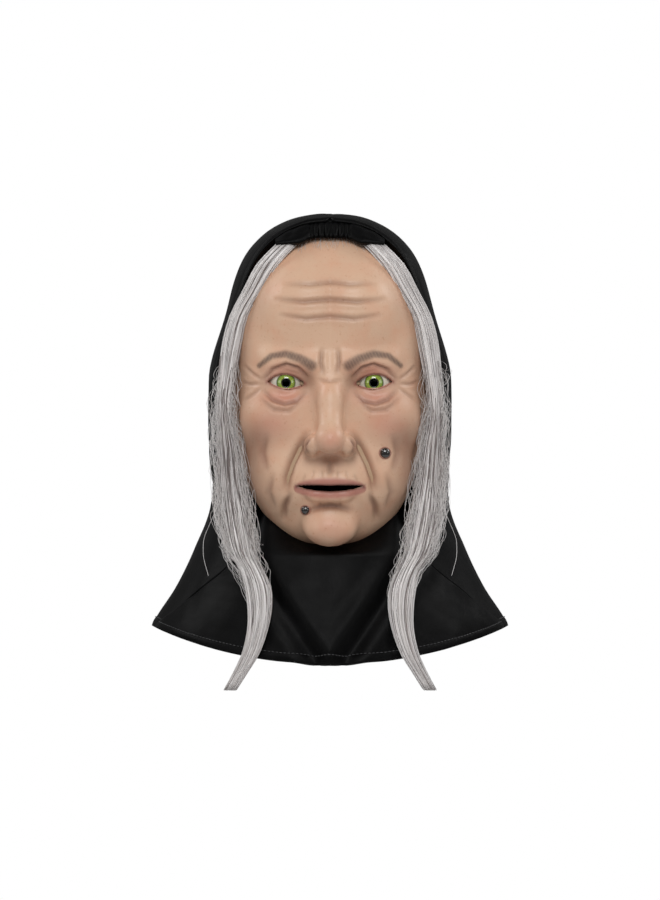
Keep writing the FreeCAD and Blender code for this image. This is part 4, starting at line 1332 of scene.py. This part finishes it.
def make_hair():
    """A long lock on each side: a grooved core, several hundred strands and stray curls."""
    for side, sign in SIDES:
        flip = np.array((float(sign), 1.0, 1.0))
        shares = np.linspace(0.0, 0.995, 120)
        path, width, depth = lock_at(shares)
        around = 40
        core = []
        for index in range(len(shares)):
            for step in range(around):
                turn = 2 * math.pi * step / around
                groove = 1 + 0.07 * math.sin(11 * turn + 2.0 * shares[index]) + 0.05 * math.sin(23 * turn)
                core.append(path[index] + np.array((0.86 * width[index] * math.cos(turn) * groove,
                                                    -0.8 * depth[index] * math.sin(turn) * groove, 0)))
        faces = grid_faces(len(shares), around, around=True)
        faces.append(tuple(range(around - 1, -1, -1)))
        faces.append(tuple(range((len(shares) - 1) * around, len(shares) * around)))
        parts = [(np.array(core) * flip, faces, 3)]
        for slot, count, seed in ((0, 150, 70), (2, 110, 71), (1, 90, 72), (3, 34, 73)):
            paths, radii = bundle(count, 46, 1.02, 0.42, seed + 10 * sign, 0.5)
            parts.append((*strand_mesh(paths * flip, radii), slot))
        for slot, count, seed in ((3, 190, 74), (1, 50, 75)):
            paths, radii = bundle(count, 30, 1.08, 0.42, seed + 10 * sign, 0.7, 0.22, 0.74, 0.18)
            parts.append((*strand_mesh(paths * flip, radii), slot))
        obj = joined(f"{side}_hair_lock", parts, hair_materials)
        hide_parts(f"{side}_lock", f"{side}_tail")
        parts = []
        for slot, count, seed in ((0, 150, 80), (2, 120, 81)):
            paths, radii = frizz(count, 44, seed + 10 * sign, 0.24, 0.70, 0.55)
            parts.append((*strand_mesh(paths * flip, radii), slot))
        long_paths = np.array(((90, -72, -96), (97, -70, -112), (104, -66, -128), (104, -72, -143),
                               (99.5, -82, -158)))
        knots = np.linspace(0, 1, len(long_paths))
        fine = np.linspace(0, 1, 44)
        long_line = np.stack([np.interp(fine, knots, long_paths[:, axis]) for axis in range(3)], axis=1)
        for _ in range(12):
            long_line[1:-1] = 0.25 * long_line[:-2] + 0.5 * long_line[1:-1] + 0.25 * long_line[2:]
        parts.append((*strand_mesh((long_line * flip)[None], np.full((1, 44), 0.24)), 0))
        stray = joined(f"{side}_stray_curls", parts, hair_materials)
        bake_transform(obj)
        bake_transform(stray)


def make_hairline():
    """Short fine hairs that show below the brow band."""
    source = np.random.default_rng(90)
    paths = []
    for _ in range(70):
        x = source.uniform(-44, 44)
        edge = 119 - 0.004 * x * x
        length = source.uniform(4, 13)
        lean = 0.55 * x / 44 + source.normal(0, 0.35)
        line = []
        for share in np.linspace(0, 1, 8):
            z = edge + 2 - length * share
            line_x = x + lean * length * share
            line.append((line_x, skin_front(line_x, z) - 0.6 - 1.2 * math.sin(math.pi * share), z))
        paths.append(line)
    paths = np.array(paths)
    radii = np.broadcast_to(np.linspace(0.24, 0.1, 8)[None, :], paths.shape[:2])
    points, faces = strand_mesh(paths, radii)
    obj = make_object("hairline_strands", points, faces, hair_materials[2])
    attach(obj, "mask")


make_hair()
make_hairline()


# ---------------------------------------------------------------- inside the mask
def make_pads():
    """Foam pads grown from their CAD blocks: crowned, with soft rounded edges."""
    for name in ("forehead_pad", "left_cheek_pad", "right_cheek_pad"):
        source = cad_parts[name]
        obj = bpy.data.objects.new(name + "_foam", source.data.copy())
        bpy.context.scene.collection.objects.link(obj)
        remesh = obj.modifiers.new("even", "REMESH")
        remesh.mode = "VOXEL"
        remesh.voxel_size = 0.0016
        soft = obj.modifiers.new("soft", "SMOOTH")
        soft.iterations = 14
        soft.factor = 0.5
        apply_modifiers(obj)
        obj.data.materials.clear()
        obj.data.materials.append(foam)
        obj.data.polygons.foreach_set("use_smooth", [True] * len(obj.data.polygons))
        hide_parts(name)
        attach(obj, "mask")


def dress_node(name, material):
    """A CAD piece that stays as it is gets its finished material."""
    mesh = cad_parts[name].data
    mesh.materials.clear()
    mesh.materials.append(material)


make_pads()
dress_node("elastic_strap", elastic)
dress_node("strap_rivets", metal)
for side, _ in SIDES:
    dress_node(f"{side}_strap_tab", tab_leather)
    dress_node(f"{side}_weft", elastic)


# ---------------------------------------------------------------- room, lights and camera
def make_room():
    """A round pale floor far enough below the mask to stay out of the frame, in a white room."""
    pale = new_material("studio_floor", (0.85, 0.85, 0.85), 0.8)
    around = np.arange(64) * 2 * math.pi / 64
    rim = [(1150 * math.cos(turn), 1150 * math.sin(turn), -620) for turn in around]
    floor = make_object("studio_floor", rim, [tuple(range(64))], pale, smooth=False)
    world = bpy.data.worlds.new("studio")
    bpy.context.scene.world = world
    world.use_nodes = True
    tree = world.node_tree
    background = tree.nodes["Background"]
    background.inputs["Color"].default_value = (1, 1, 1, 1)
    path = tree.nodes.new("ShaderNodeLightPath")
    share = tree.nodes.new("ShaderNodeMapRange")
    share.inputs["To Min"].default_value = 0.2
    share.inputs["To Max"].default_value = 1.0
    tree.links.new(path.outputs["Is Camera Ray"], share.inputs["Value"])
    tree.links.new(share.outputs["Result"], background.inputs["Strength"])


def area_light(name, place, aim, size, power):
    """A soft square light that points at a place."""
    data = bpy.data.lights.new(name, "AREA")
    data.size = size
    data.energy = power
    lamp = bpy.data.objects.new(name, data)
    bpy.context.scene.collection.objects.link(lamp)
    lamp.location = place
    direction = np.array(aim, float) - np.array(place, float)
    lamp.rotation_euler = Vector(direction).to_track_quat("-Z", "Y").to_euler()
    return lamp


def make_lights():
    """A broad key above the camera, a fill on each side and a rim light over each shoulder."""
    area_light("key", (0.0, -1.6, 0.95), (0, 0, 0), 0.8, 17)
    for side, sign in SIDES:
        area_light(f"{side}_fill", (sign * 1.3, -1.2, 0.25), (0, 0, -0.02), 0.6, 2.6)
        area_light(f"{side}_rim", (sign * 1.1, 0.1, 0.75), (sign * 0.08, -0.02, 0.03), 0.5, 5)


def make_camera():
    """A long lens level with the chin that takes in a little more than the whole mask."""
    view_height = 0.738
    distance = 8.0
    face_plane = 0.07
    data = bpy.data.cameras.new("camera")
    data.sensor_width = 36
    data.lens = data.sensor_width * (distance - face_plane) / view_height
    data.clip_end = 20
    camera = bpy.data.objects.new("camera", data)
    bpy.context.scene.collection.objects.link(camera)
    camera.location = (0, -distance, -0.055)
    camera.rotation_euler = (math.pi / 2, 0, 0)
    bpy.context.scene.camera = camera


make_room()
make_lights()
make_camera()
bpy.context.scene.view_settings.view_transform = "Standard"
